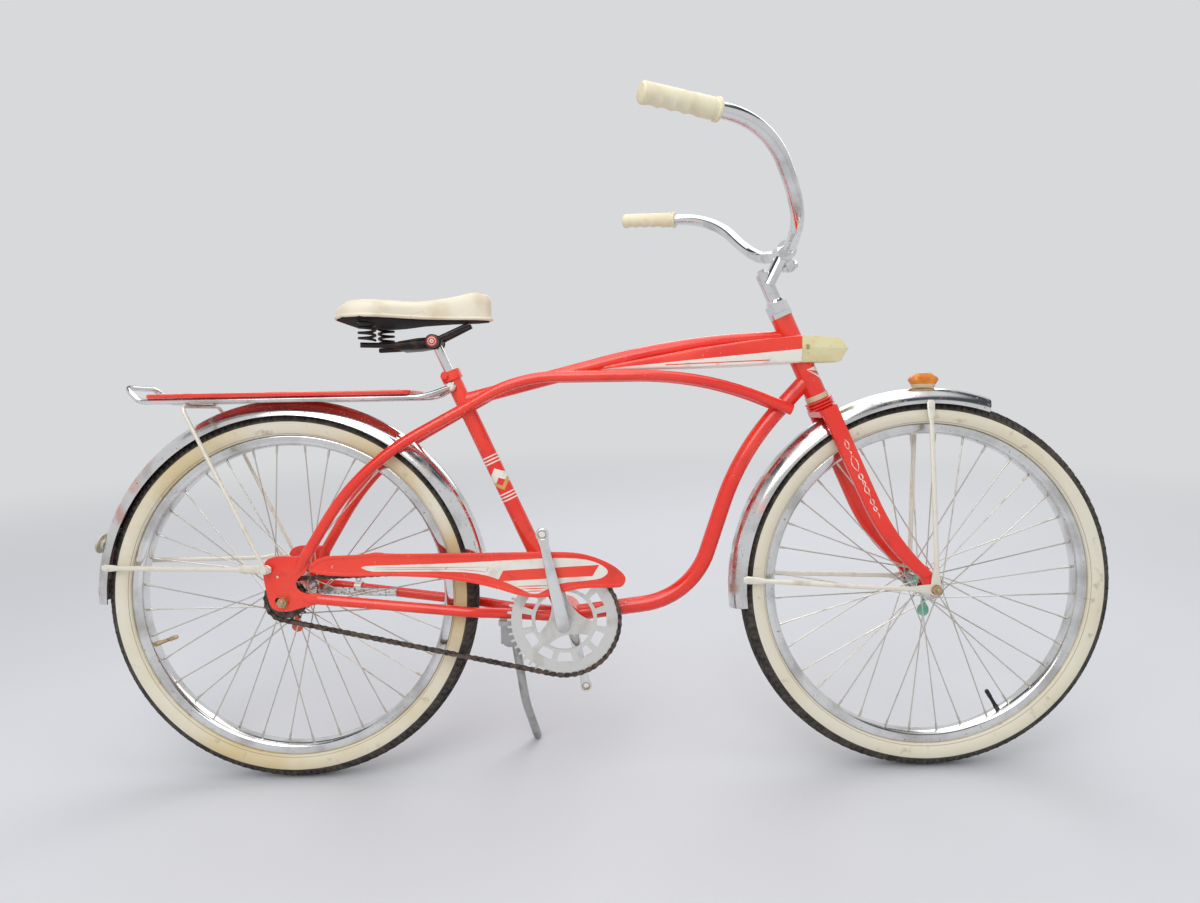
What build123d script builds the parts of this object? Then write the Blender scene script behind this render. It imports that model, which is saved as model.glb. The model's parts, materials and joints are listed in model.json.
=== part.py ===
from build123d import *
import os
from math import acos, atan2, cos, degrees, pi, radians, sin, sqrt, tan

# A balloon-tyred cruiser bicycle with a cantilever frame, parked on its side stand, in millimetres.
# It is drawn upright: origin in the middle of the rear axle, +X forward, +Y to the rider's left, +Z up.
# The last section leans it onto its stand and moves the origin to the ground under its middle.

# Stance
wheelbase = 1127.0
lean_angle = 5.0
head_angle = 66.5
fork_rake = 39.0
bracket_drop = 45.0

# Fits
weld_gap = 0.1
seat_gap = 0.3
running_gap = 0.05

# Wheels
tyre_radius = 330.0
tyre_section_radius = 26.0
tyre_sides = 6
tyre_height = 49.8
bead_half_width = 13.0
rim_half_width = 16.5
rim_lip_height = 6.3
rim_depth = 12.2
spokes_per_flange = 18
spoke_width = 2.0
spoke_crossing_angle = 60.0

# Hubs and axles
front_axle_diameter = 8.0
rear_axle_diameter = 9.5
front_flange_y = 31.0
front_flange_radius = 24.0
front_barrel_radius = 14.0
rear_flange_y = 29.0
rear_flange_radius = 33.0
rear_barrel_radius = 22.0
flange_thickness = 3.2
front_hub_half = 42.0
rear_hub_half = 38.0
front_dropout_y = 50.0
rear_dropout_y = 55.0
dropout_thickness = 5.0
axle_nut_radius = 9.0
axle_nut_height = 9.0

# Chain drive
chain_pitch = 12.7
ring_teeth = 48
cog_teeth = 18
ring_wrap_links = 26
cog_wrap_links = 8
run_links = 38
chain_line = 43.0
tooth_thickness = 2.8
chain_inner_gap = 3.4
chain_plate = 1.2
chain_plate_height = 7.6
chain_end_overhang = 3.6
crank_length = 160.0
crank_angle = 102.0
crank_inner_y = 68.0
crank_arm_thickness = 13.0
crank_arm_width = 16.0
crank_boss_width = 25.0
crank_eye_diameter = 22.0
crank_axle_diameter = 24.0
pedal_hole_diameter = 12.7

# Frame tubes
head_tube_diameter = 38.0
head_tube_bore = 32.0
head_tube_length = 150.0
top_tube_diameter = 25.4
down_tube_diameter = 28.6
seat_tube_diameter = 28.6
side_tube_diameter = 19.0
side_tube_rise = 62.6
chainstay_diameter = 18.0
bracket_shell_diameter = 54.0
bracket_shell_half = 34.0
seat_tube_angle = 65.8
seat_tube_length = 480.0
steerer_diameter = 25.4

# Fork crown
crown_clearance = 4.2
crown_thickness = 11.0
crown_stack = 16.7
cup_height = 9.0

# Fenders and their stays
fender_clearance = 20.0
fender_half_width = 31.0
fender_depth = 28.0
fender_wall = 1.6
fender_sides = 6
front_fender_start_angle = 71.0
front_fender_end_angle = 186.0
rear_fender_start_angle = 12.0
rear_fender_end_angle = 181.0
stay_diameter = 6.0

# Handlebar
bar_diameter = 22.2
bar_clamp_lift = 19.2
bar_clamp_reach = 50.8
bar_half_width = 353.0
bar_sweep = 266.0
bar_rise = 142.0
stem_length = 58.0
grip_length = 118.0
grip_diameter = 31.0

# Side stand
stand_leg_diameter = 16.0
stand_setback = 99.0
stand_pivot_y = 46.0
stand_pivot_drop = 39.0
stand_foot_y = 116.0
stand_foot_ahead = 34.0
stand_knee_y = 60.0
stand_knee_drop = 141.0
stand_knee_ahead = 18.0


def rotated(radius, angle):
    """x and z of a point at a radius and an angle in degrees, turned from +X towards +Z."""
    return radius * cos(radians(angle)), radius * sin(radians(angle))


# Chain drive layout: the rear wheel sits where both runs of chain hold a whole number of links.
ring_pitch_radius = chain_pitch / (2 * sin(pi / ring_teeth))
cog_pitch_radius = chain_pitch / (2 * sin(pi / cog_teeth))
ring_last_angle = ring_wrap_links / 2 * 360 / ring_teeth
cog_last_angle = cog_wrap_links / 2 * 360 / cog_teeth
ring_last_along, ring_last_across = rotated(ring_pitch_radius, ring_last_angle)
cog_last_along, cog_last_across = rotated(cog_pitch_radius, cog_last_angle)
run_length = run_links * chain_pitch
run_along = sqrt(run_length**2 - (ring_last_across - cog_last_across) ** 2)
chainstay_length = run_along - ring_last_along - cog_last_along
bracket_x = sqrt(chainstay_length**2 - bracket_drop**2)
bracket = Vector(bracket_x, 0, -bracket_drop)

# Steering layout: heights are measured along the steering axis from axle level.
steer_up = Vector(-cos(radians(head_angle)), 0, sin(radians(head_angle)))
steer_ahead = Vector(sin(radians(head_angle)), 0, cos(radians(head_angle)))
steer_foot = Vector(wheelbase - fork_rake / sin(radians(head_angle)), 0, 0)
front_axle_point = Vector(wheelbase, 0, 0)
fender_radius = tyre_radius + fender_clearance
axle_to_crown = sqrt((fender_radius + crown_clearance) ** 2 - fork_rake**2)
crown_low = axle_to_crown - fork_rake / tan(radians(head_angle))
crown_high = crown_low + crown_thickness
head_tube_low = crown_high + crown_stack + seat_gap + cup_height
head_tube_high = head_tube_low + head_tube_length

# Seat tube layout: lengths are measured up the seat tube from the bottom bracket.
seat_up = Vector(-cos(radians(seat_tube_angle)), 0, sin(radians(seat_tube_angle)))


def on_steerer(height, ahead=0.0, y=0.0):
    """A point given by its height up the steering axis, its distance ahead of it, and its side."""
    return steer_foot + steer_up * height + steer_ahead * ahead + Vector(0, y, 0)


def across_steerer(height):
    """The plane square to the steering axis at a height, with x forward."""
    return Plane(origin=on_steerer(height), x_dir=steer_ahead, z_dir=steer_up)


def on_seat_tube(length):
    """A point up the seat tube from the bottom bracket."""
    return bracket + seat_up * length


def wheel_plane(centre):
    """The plane of a wheel's half section: x runs up from the axle, y runs to the left."""
    return Plane(origin=centre, x_dir=(0, 0, 1), z_dir=(-1, 0, 0))


def wheel_axis(centre):
    """A wheel's axle line."""
    return Axis(centre, (0, 1, 0))


pieces = {}


def keep(name, solid):
    """Files a finished piece under its name."""
    solid.label = name
    pieces[name] = solid


def tube(points, radii, diameter):
    """A round tube along straight runs joined by bends of the given radii."""
    with BuildPart() as swept:
        with BuildLine() as route:
            FilletPolyline(*points, radius=radii)
        with BuildSketch(Plane(origin=route.line @ 0, z_dir=route.line % 0)):
            Circle(diameter / 2)
        sweep()
    return swept.part


def straight_tube(start, end, diameter, bore=0.0):
    """A straight round tube or rod."""
    with BuildPart() as rod:
        with BuildSketch(Plane(origin=start, z_dir=end - start)):
            Circle(diameter / 2)
            if bore:
                Circle(bore / 2, mode=Mode.SUBTRACT)
        extrude(amount=(end - start).length)
    return rod.part


def coped(solid, start, end, diameter):
    """A tube's end shaped to the round tube it is welded to."""
    with BuildPart() as cut:
        add(solid)
        with BuildSketch(Plane(origin=start, z_dir=end - start)):
            Circle(diameter / 2 + weld_gap)
        extrude(amount=(end - start).length, mode=Mode.SUBTRACT)
    return cut.part


def turned(outline, plane, axis, span=360.0):
    """A solid turned about an axis from a closed outline of straight edges."""
    with BuildPart() as body:
        with BuildSketch(plane):
            with BuildLine():
                Polyline(*outline, close=True)
            make_face()
        revolve(axis=axis, revolution_arc=span)
    return body.part


def joined(*solids):
    """Solids welded or cast into one."""
    with BuildPart() as whole:
        for solid in solids:
            add(solid)
    return whole.part


# Wheels: tyre, rim, spokes and hub turn together on a fixed axle.
tyre_centre_radius = tyre_radius - tyre_section_radius
bead_radius = tyre_radius - tyre_height
rim_edge_radius = bead_radius + rim_lip_height
rim_inner_radius = bead_radius - rim_depth
rim_well_radius = bead_radius - seat_gap
rim_lip_half_width = bead_half_width + seat_gap


def tyre(centre):
    """A balloon tyre whose round section is laid out in flats between its beads."""
    shoulder_radius = rim_edge_radius + seat_gap
    shoulder_angle = acos((shoulder_radius - tyre_centre_radius) / tyre_section_radius)
    outline = [
        (shoulder_radius, -bead_half_width),
        (bead_radius, -bead_half_width),
        (bead_radius, bead_half_width),
        (shoulder_radius, bead_half_width),
    ]
    for side in range(tyre_sides + 1):
        angle = shoulder_angle * (1 - 2 * side / tyre_sides)
        across = tyre_section_radius * sin(angle)
        out = tyre_centre_radius + tyre_section_radius * cos(angle)
        outline.append((out, across))
    return turned(outline, wheel_plane(centre), wheel_axis(centre))


def rim(centre):
    """A drop-centre rim: two side walls and a rounded well."""
    outline = [
        (rim_edge_radius, rim_half_width),
        (rim_inner_radius + 5, rim_half_width),
        (rim_inner_radius, rim_half_width / 2),
        (rim_inner_radius, -rim_half_width / 2),
        (rim_inner_radius + 5, -rim_half_width),
        (rim_edge_radius, -rim_half_width),
        (rim_edge_radius, -rim_lip_half_width),
        (rim_well_radius, -rim_lip_half_width),
        (rim_well_radius, rim_lip_half_width),
        (rim_edge_radius, rim_lip_half_width),
    ]
    return turned(outline, wheel_plane(centre), wheel_axis(centre))


def spokes(centre, flange_y, flange_radius):
    """Spokes laced three-cross from the two hub flanges to the rim."""
    hole_radius = flange_radius - 3.0
    spacing = 360 / spokes_per_flange
    outer_offset = flange_thickness / 2 + 1.5 * spoke_width
    inner_offset = flange_thickness / 2 + 0.75 * spoke_width + weld_gap
    with BuildPart() as laced:
        for side in (-1, 1):
            for hole in range(spokes_per_flange):
                leading = 1 if hole % 2 else -1
                hub_angle = hole * spacing + side * spacing / 4
                rim_angle = hub_angle + leading * spoke_crossing_angle
                hub_x, hub_z = rotated(hole_radius, hub_angle)
                rim_x, rim_z = rotated(rim_inner_radius - seat_gap, rim_angle)
                hub_y = flange_y + (outer_offset if leading > 0 else -inner_offset)
                head = centre + Vector(hub_x, side * hub_y, hub_z)
                nipple = centre + Vector(rim_x, side * 4.0, rim_z)
                with BuildSketch(Plane(origin=head, z_dir=nipple - head)):
                    Rectangle(spoke_width, spoke_width)
                extrude(amount=(nipple - head).length)
    return laced.part


def hub(centre, half, flange_y, flange_radius, barrel_radius, axle_diameter):
    """A hub shell: barrel, two flanges and a running bore."""
    bore = axle_diameter / 2 + running_gap
    end_radius = barrel_radius - 3.0
    low = flange_y - flange_thickness / 2
    high = flange_y + flange_thickness / 2
    outline = [
        (bore, -half),
        (end_radius, -half),
        (end_radius, -high),
        (flange_radius, -high),
        (flange_radius, -low),
        (barrel_radius, -low),
        (barrel_radius, low),
        (flange_radius, low),
        (flange_radius, high),
        (end_radius, high),
        (end_radius, half),
        (bore, half),
    ]
    return turned(outline, wheel_plane(centre), wheel_axis(centre))


def axle(centre, diameter, cone_low, cone_high, nut_low):
    """A threaded axle with its cones inside the dropouts and its nuts outside."""
    radius = diameter / 2
    nut_high = nut_low + axle_nut_height
    half = [
        (cone_low, radius),
        (cone_low, radius + 3.5),
        (cone_high, radius + 3.5),
        (cone_high, radius),
        (nut_low, radius),
        (nut_low, axle_nut_radius),
        (nut_high, axle_nut_radius),
        (nut_high, radius),
        (nut_high + 4, radius),
        (nut_high + 4, 0),
    ]
    outline = [(r, y) for y, r in half] + [(r, -y) for y, r in reversed(half)]
    return turned(outline, wheel_plane(centre), wheel_axis(centre))


wheel_table = [
    # name, centre, flange half spacing, flange radius, barrel radius, hub half length, axle diameter
    ("front", front_axle_point, front_flange_y, front_flange_radius, front_barrel_radius,
     front_hub_half, front_axle_diameter),
    ("rear", Vector(0, 0, 0), rear_flange_y, rear_flange_radius, rear_barrel_radius,
     rear_hub_half, rear_axle_diameter),
]
for name, centre, flange_y, flange_radius, barrel_radius, half, axle_diameter in wheel_table:
    keep(f"{name}_tyre", tyre(centre))
    keep(f"{name}_rim", rim(centre))
    keep(f"{name}_spokes", spokes(centre, flange_y, flange_radius))
    keep(f"{name}_hub", hub(centre, half, flange_y, flange_radius, barrel_radius, axle_diameter))

# The stays' eyes sit between the dropouts and the axle nuts.
front_nut_y = front_dropout_y + dropout_thickness + stay_diameter / 2 + 3 * seat_gap
rear_nut_y = rear_dropout_y + dropout_thickness + seat_gap
keep("front_axle", axle(front_axle_point, front_axle_diameter, front_hub_half + seat_gap,
                        front_dropout_y - seat_gap, front_nut_y))
keep("rear_axle", axle(Vector(0, 0, 0), rear_axle_diameter, rear_dropout_y - 6,
                       rear_dropout_y - seat_gap, rear_nut_y))

# Frame: head tube, top tube, down tube, seat tube, the twin side tubes, chainstays and dropouts.
head_low = on_steerer(head_tube_low)
head_high = on_steerer(head_tube_high)
keep("head_tube", straight_tube(head_low, head_high, head_tube_diameter, head_tube_bore))

cup_radius = head_tube_diameter / 2 + 1.5
cup_bore = steerer_diameter + 2 * running_gap
keep("headset_cups", joined(
    straight_tube(on_steerer(head_tube_low - cup_height), head_low, 2 * cup_radius, cup_bore),
    straight_tube(head_high, on_steerer(head_tube_high + cup_height), 2 * cup_radius, cup_bore),
))

shell_right = bracket - Vector(0, bracket_shell_half, 0)
shell_left = bracket + Vector(0, bracket_shell_half, 0)
keep("bottom_bracket", straight_tube(shell_right, shell_left, bracket_shell_diameter,
                                     crank_axle_diameter + 2 * running_gap))

seat_tube_top = on_seat_tube(seat_tube_length)
seat_post_diameter = 17.0
seat_post_hole_depth = 90.0
with BuildPart() as seat_tube:
    add(coped(straight_tube(bracket, seat_tube_top, seat_tube_diameter),
              shell_right, shell_left, bracket_shell_diameter))
    with BuildSketch(Plane(origin=seat_tube_top, z_dir=seat_up)):
        Circle(seat_post_diameter / 2 + weld_gap)
    extrude(amount=-seat_post_hole_depth, mode=Mode.SUBTRACT)
keep("seat_tube", seat_tube.part)



def share(start, end, along, rise):
    """A point a share of the way from start to end, raised by a share of the distance between them."""
    return start + (end - start) * along + Vector(0, 0, rise * (end - start).length)


top_tube_head = on_steerer(head_tube_high - 40.0)
top_tube_seat = on_seat_tube(seat_tube_length - 56.0)
top_tube_span = (top_tube_head - top_tube_seat).length
top_tube_route = [top_tube_head, share(top_tube_seat, top_tube_head, 0.67, 0.048), top_tube_seat]
top_tube_radius = 2.2 * top_tube_span
top_tube = tube(top_tube_route, [top_tube_radius], top_tube_diameter)
top_tube = coped(top_tube, head_low, head_high, head_tube_diameter)
keep("top_tube", coped(top_tube, bracket, seat_tube_top, seat_tube_diameter))

down_tube_head = on_steerer(head_tube_low + 33.0)
down_tube_bends = [
    # share of the way back, share of the way down, bend radius
    (0.277, 0.308, 450.0),
    (0.482, 0.936, 140.0),
]
down_tube_run = bracket - down_tube_head
down_tube = tube(
    [
        down_tube_head,
        *[down_tube_head + Vector(x * down_tube_run.X, 0, z * down_tube_run.Z) for x, z, r in down_tube_bends],
        bracket,
    ],
    [r for x, z, r in down_tube_bends],
    down_tube_diameter,
)
down_tube = coped(down_tube, head_low, head_high, head_tube_diameter)
keep("down_tube", coped(down_tube, shell_right, shell_left, bracket_shell_diameter))

dropout_middle_y = rear_dropout_y + dropout_thickness / 2
side_tube_y = seat_tube_diameter / 2 + side_tube_diameter / 2 + seat_gap
side_tube_end = (38.0, 74.0)
side_tube_front = on_steerer(head_tube_low - 5.0, -54.6)
side_tube_pass = on_seat_tube(seat_tube_length - 75.4) - Vector(11.0, 0, 0)
side_tube_span = (side_tube_front - side_tube_pass).length
side_tube_crest = side_tube_pass + (side_tube_front - side_tube_pass) * 0.739 + Vector(0, 0, side_tube_rise)
side_tube_shoulder = side_tube_pass + (side_tube_front - side_tube_pass) * 0.18 + Vector(0, 0, side_tube_rise - 4)
side_tube_points = [
    # x, z, y, bend radius: from beside the down tube, past the seat tube, down to the dropout
    (side_tube_front.X, side_tube_front.Z, side_tube_y, 0.0),
    (side_tube_crest.X, side_tube_crest.Z, side_tube_y, 1.0 * side_tube_span),
    (side_tube_shoulder.X, side_tube_shoulder.Z, side_tube_y, 0.45 * side_tube_span),
    (side_tube_pass.X, side_tube_pass.Z, side_tube_y, 280.0),
    (135.0, 231.0, 50.0, 420.0),
    (side_tube_end[0], side_tube_end[1], dropout_middle_y, 0.0),
]
chainstay_end = (62.0, 3.0)
chainstay_points = [
    # x, z, y, bend radius: from the bottom bracket, inside the chainring, round the tyre, to the dropout
    (bracket_x - 20, -43.0, 21.0, 0.0),
    (tyre_radius + 50.0, -35.0, 25.5, 120.0),
    (tyre_radius - 5.0, -29.0, 41.0, 120.0),
    (chainstay_end[0], chainstay_end[1], dropout_middle_y, 0.0),
]


def square_end(points, diameter):
    """The two corners of a plate that butts against a tube's end, given the tube's x and z points."""
    last = Vector(points[-1][0], points[-1][1])
    run = (last - Vector(points[-2][0], points[-2][1])).normalized()
    over = Vector(run.Y, -run.X) * (diameter / 2 - 1)
    corners = [last + run * seat_gap + over, last + run * seat_gap - over]
    return [(corner.X, corner.Y) for corner in corners]


side_tube_corners = square_end(side_tube_points, side_tube_diameter)
chainstay_corners = square_end(chainstay_points, chainstay_diameter)
dropout_outline = [
    # x, z, from the side tube's end round to the chainstay's end and back past the axle slot
    *side_tube_corners,
    (48.0, 32.0),
    *chainstay_corners,
    (20.0, -15.0),
    (-14.0, -15.0),
    (-27.0, 4.0),
    (-33.0, 48.0),
    (-27.0, 70.0),
    (-10.0, 80.0),
]
axle_slot_length = 60.0
for side, sign in (("left", 1), ("right", -1)):
    keep(f"side_tube_{side}", tube(
        [(x, sign * y, z) for x, z, y, r in side_tube_points],
        [r for x, z, y, r in side_tube_points[1:-1]],
        side_tube_diameter,
    ))
    chainstay = tube(
        [(x, sign * y, z) for x, z, y, r in chainstay_points],
        [r for x, z, y, r in chainstay_points[1:-1]],
        chainstay_diameter,
    )
    keep(f"chainstay_{side}", coped(chainstay, shell_right, shell_left, bracket_shell_diameter))
    with BuildPart() as dropout:
        with BuildSketch(Plane.XZ.offset(-sign * dropout_middle_y)):
            with BuildLine():
                Polyline(*dropout_outline, close=True)
            make_face()
            with Locations((-axle_slot_length / 2, 0)):
                SlotOverall(axle_slot_length + rear_axle_diameter + 1, rear_axle_diameter + 1,
                            mode=Mode.SUBTRACT)
        extrude(amount=dropout_thickness / 2, both=True)
    keep(f"dropout_{side}", dropout.part)

# Chainring, crank and chain.
tooth_height = 3.2
tooth_root_drop = chain_plate_height / 2 + 0.6
tooth_clearance = 0.2
window_count = 12
window_inner_radius = 58.0
window_outer_radius = 75.0
window_half_angle = 10.5
lens_count = 3
lens_outer_radius = 51.0
lens_inner_radius = 26.0
lens_half_angle = 45.0
ring_axis_plane = Plane(origin=bracket - Vector(0, chain_line, 0), x_dir=(1, 0, 0), z_dir=(0, -1, 0))
cog_axis_plane = Plane(origin=(0, -chain_line, 0), x_dir=(1, 0, 0), z_dir=(0, -1, 0))
drive_angle = degrees(atan2(bracket_drop, -bracket_x))


def toothed_disc(pitch_radius, teeth, phase):
    """The sketch of a sprocket whose gaps seat the chain's rollers, the first gap at the phase angle."""
    root = pitch_radius - tooth_root_drop
    step = 360 / teeth
    link_corner = (chain_end_overhang * cos(radians(step))
                   + chain_plate_height / 2 * sin(radians(step)))
    tooth_base_width = chain_pitch - 2 * link_corner - 2 * tooth_clearance
    tooth_tip_width = tooth_base_width / 2
    with BuildSketch() as disc:
        Circle(root)
        with PolarLocations(root, teeth, start_angle=phase + step / 2):
            with BuildLine(mode=Mode.PRIVATE) as flank:
                Polyline(
                    (-1.5, -tooth_base_width / 2),
                    (tooth_root_drop, -tooth_base_width / 2),
                    (tooth_root_drop + tooth_height, -tooth_tip_width / 2),
                    (tooth_root_drop + tooth_height, tooth_tip_width / 2),
                    (tooth_root_drop, tooth_base_width / 2),
                    (-1.5, tooth_base_width / 2),
                    close=True,
                )
            add(make_face(flank.edges(), mode=Mode.PRIVATE))
    return disc.sketch


with BuildPart() as chainring:
    with BuildSketch(ring_axis_plane):
        add(toothed_disc(ring_pitch_radius, ring_teeth, drive_angle))
        Circle(crank_axle_diameter / 2 + running_gap, mode=Mode.SUBTRACT)
        with PolarLocations(0, window_count):
            with BuildLine(mode=Mode.PRIVATE) as window:
                corners = [
                    rotated(window_outer_radius, -window_half_angle),
                    rotated(window_outer_radius, window_half_angle),
                    rotated(window_inner_radius, window_half_angle),
                    rotated(window_inner_radius, -window_half_angle),
                ]
                Polyline(*corners, close=True)
            add(make_face(window.edges(), mode=Mode.PRIVATE), mode=Mode.SUBTRACT)
        with PolarLocations(0, lens_count, start_angle=crank_angle + 180 / lens_count):
            with BuildLine(mode=Mode.PRIVATE) as lens:
                low = rotated(lens_outer_radius, -lens_half_angle)
                high = rotated(lens_outer_radius, lens_half_angle)
                ThreePointArc(low, (lens_outer_radius, 0), high)
                ThreePointArc(low, (lens_inner_radius, 0), high)
            add(make_face(lens.edges(), mode=Mode.PRIVATE), mode=Mode.SUBTRACT)
    extrude(amount=tooth_thickness / 2, both=True)
keep("chainring", chainring.part)

with BuildPart() as rear_cog:
    with BuildSketch(cog_axis_plane):
        add(toothed_disc(cog_pitch_radius, cog_teeth, drive_angle))
    extrude(amount=tooth_thickness / 2, both=True)
    with BuildSketch(cog_axis_plane):
        Circle(17.0)
    extrude(amount=4.5, both=True)
    with BuildSketch(cog_axis_plane):
        Circle(rear_axle_diameter / 2 + running_gap)
    extrude(amount=20, both=True, mode=Mode.SUBTRACT)
keep("rear_cog", rear_cog.part)


def crank_arm(sign, angle):
    """One arm of the crank, from the bracket axle out to the tapped pedal eye."""
    inner = Plane(origin=bracket + Vector(0, sign * crank_inner_y, 0), x_dir=(1, 0, 0), z_dir=(0, sign, 0))
    eye_x, eye_z = rotated(crank_length, angle)
    eye = (eye_x, -sign * eye_z)
    over = Vector(-eye[1], eye[0]).normalized()
    corners = [
        over * (-crank_boss_width / 2),
        Vector(*eye) - over * (crank_arm_width / 2),
        Vector(*eye) + over * (crank_arm_width / 2),
        over * (crank_boss_width / 2),
    ]
    with BuildPart() as arm:
        with BuildSketch(inner):
            with BuildLine():
                Polyline(*[(corner.X, corner.Y) for corner in corners], close=True)
            make_face()
            with Locations(eye):
                Circle(crank_eye_diameter / 2)
            Circle(crank_boss_width / 2)
        extrude(amount=crank_arm_thickness)
        with BuildSketch(inner):
            with Locations(eye):
                Circle(pedal_hole_diameter / 2)
        extrude(amount=crank_arm_thickness, mode=Mode.SUBTRACT)
    return arm.part


crank_axle_half = crank_inner_y - seat_gap
keep("crank_axle", straight_tube(bracket - Vector(0, crank_axle_half, 0), bracket + Vector(0, crank_axle_half, 0),
                                 crank_axle_diameter))
keep("crank_arm_right", crank_arm(-1, crank_angle))
keep("crank_arm_left", crank_arm(1, crank_angle - 180))

# The pins of the chain, in order: round the chainring, along one run, round the cog, along the other.
along = Vector(-bracket_x, 0, bracket_drop).normalized()
across = Vector(along.Z, 0, -along.X)
pins = []
for link in range(ring_wrap_links + 1):
    angle = ring_last_angle - link * 360 / ring_teeth
    out, over = rotated(ring_pitch_radius, angle)
    pins.append(bracket - along * out + across * over)
for link in range(1, run_links):
    start = bracket - along * ring_last_along - across * ring_last_across
    end = along * cog_last_along - across * cog_last_across
    pins.append(start + (end - start) * (link / run_links))
for link in range(cog_wrap_links + 1):
    angle = -cog_last_angle + link * 360 / cog_teeth
    out, over = rotated(cog_pitch_radius, angle)
    pins.append(along * out + across * over)
for link in range(1, run_links):
    start = along * cog_last_along + across * cog_last_across
    end = bracket - along * ring_last_along + across * ring_last_across
    pins.append(start + (end - start) * (link / run_links))

inner_width = chain_inner_gap + 2 * chain_plate
outer_gap = inner_width + 2 * weld_gap
link_length = chain_pitch + 2 * chain_end_overhang
with BuildPart() as inner_link:
    with BuildSketch():
        Rectangle(link_length, inner_width)
        Rectangle(chain_pitch - 2 * chain_end_overhang, chain_inner_gap, mode=Mode.SUBTRACT)
    extrude(amount=chain_plate_height / 2, both=True)
with BuildPart() as outer_link:
    with Locations((0, (outer_gap + chain_plate) / 2, 0), (0, -(outer_gap + chain_plate) / 2, 0)):
        Box(link_length, chain_plate, chain_plate_height)
links = []
for index, pin in enumerate(pins):
    following = pins[(index + 1) % len(pins)]
    middle = (pin + following) * 0.5 - Vector(0, chain_line, 0)
    place = Plane(origin=middle, x_dir=following - pin, z_dir=(following - pin).cross(Vector(0, 1, 0)))
    pattern = inner_link if index % 2 else outer_link
    links.extend(pattern.part.moved(place.location).solids())
keep("chain", Compound(children=links))

# Fork: steerer, ringed crown, two raked blades and slotted ends, in one piece.
blade_straight_low = 165.0
blade_end_height = 12.0
blade_end_rake = fork_rake - 4.0
crown_rings = 3
blade_top_y = 43.0
blade_foot_y = 52.5
blade_top_half = 15.0
blade_bend_half = 14.0
blade_foot_half = 11.0
blade_thickness = 16.0
blade_edge_radius = 6.0


def fork_blade(sign):
    """One flattened blade: straight from the crown, then raked forward, in a plane that splays outwards."""
    splay = (blade_foot_y - blade_top_y) / (crown_high - blade_end_height)
    up = (steer_up - Vector(0, sign * splay, 0)).normalized()
    foot = on_steerer(0, 0, sign * (blade_foot_y + splay * blade_end_height))
    with BuildPart() as blade:
        with BuildSketch(Plane(origin=foot, x_dir=steer_ahead, z_dir=steer_ahead.cross(up))):
            with BuildLine():
                Line((-blade_top_half, crown_high), (blade_top_half, crown_high))
                Line((blade_top_half, crown_high), (blade_bend_half, blade_straight_low))
                TangentArc((blade_bend_half, blade_straight_low),
                           (blade_end_rake + blade_foot_half, blade_end_height), tangent=(0, -1))
                Line((blade_end_rake + blade_foot_half, blade_end_height),
                     (blade_end_rake - blade_foot_half, blade_end_height))
                TangentArc((-blade_bend_half, blade_straight_low),
                           (blade_end_rake - blade_foot_half, blade_end_height), tangent=(0, -1))
                Line((-blade_bend_half, blade_straight_low), (-blade_top_half, crown_high))
            make_face()
        extrude(amount=blade_thickness / 2, both=True)
        long_edges = [edge for edge in blade.edges() if edge.length > 2 * blade_top_half + 1]
        fillet(long_edges, blade_edge_radius)
    return blade.part


def fork_end(sign):
    """The slotted plate at a blade's foot that takes the axle."""
    low = front_dropout_y if sign > 0 else -front_dropout_y - dropout_thickness
    with BuildPart() as end:
        with BuildSketch(Plane(origin=(wheelbase, low, 0), x_dir=steer_ahead, z_dir=(0, -1, 0))):
            Circle(13.0)
            with Locations((-6.0, 22.0)):
                Rectangle(20.0, 40.0)
            with Locations((0, -10.0)):
                SlotOverall(20.0 + front_axle_diameter + 1, front_axle_diameter + 1, rotation=90,
                            mode=Mode.SUBTRACT)
        extrude(amount=-dropout_thickness)
    return end.part


steerer_high = head_tube_high + cup_height + 16.0
with BuildPart() as crown:
    with BuildSketch(across_steerer(crown_low)):
        RectangleRounded(34.0, 2 * blade_top_y + blade_thickness, 12.0)
    extrude(amount=crown_high - crown_low)
    ring_height = crown_stack / crown_rings
    for ring in range(crown_rings):
        base = crown_high + ring * ring_height
        with BuildSketch(across_steerer(base)):
            Circle(cup_radius - 2)
        extrude(amount=ring_height)
        with BuildSketch(across_steerer(base + ring_height * 0.25)):
            Circle(cup_radius + 1)
        extrude(amount=ring_height * 0.5)
keep("fork", joined(
    straight_tube(on_steerer(crown_low + 4), on_steerer(steerer_high), steerer_diameter),
    crown.part,
    fork_blade(1),
    fork_blade(-1),
    fork_end(1),
    fork_end(-1),
))

locknut_low = head_tube_high + cup_height + seat_gap
locknut_high = steerer_high
with BuildPart() as locknut:
    with BuildSketch(across_steerer(locknut_low)):
        RegularPolygon(cup_radius, 6)
        Circle(steerer_diameter / 2 + running_gap, mode=Mode.SUBTRACT)
    extrude(amount=locknut_high - locknut_low)
keep("headset_locknut", locknut.part)

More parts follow.
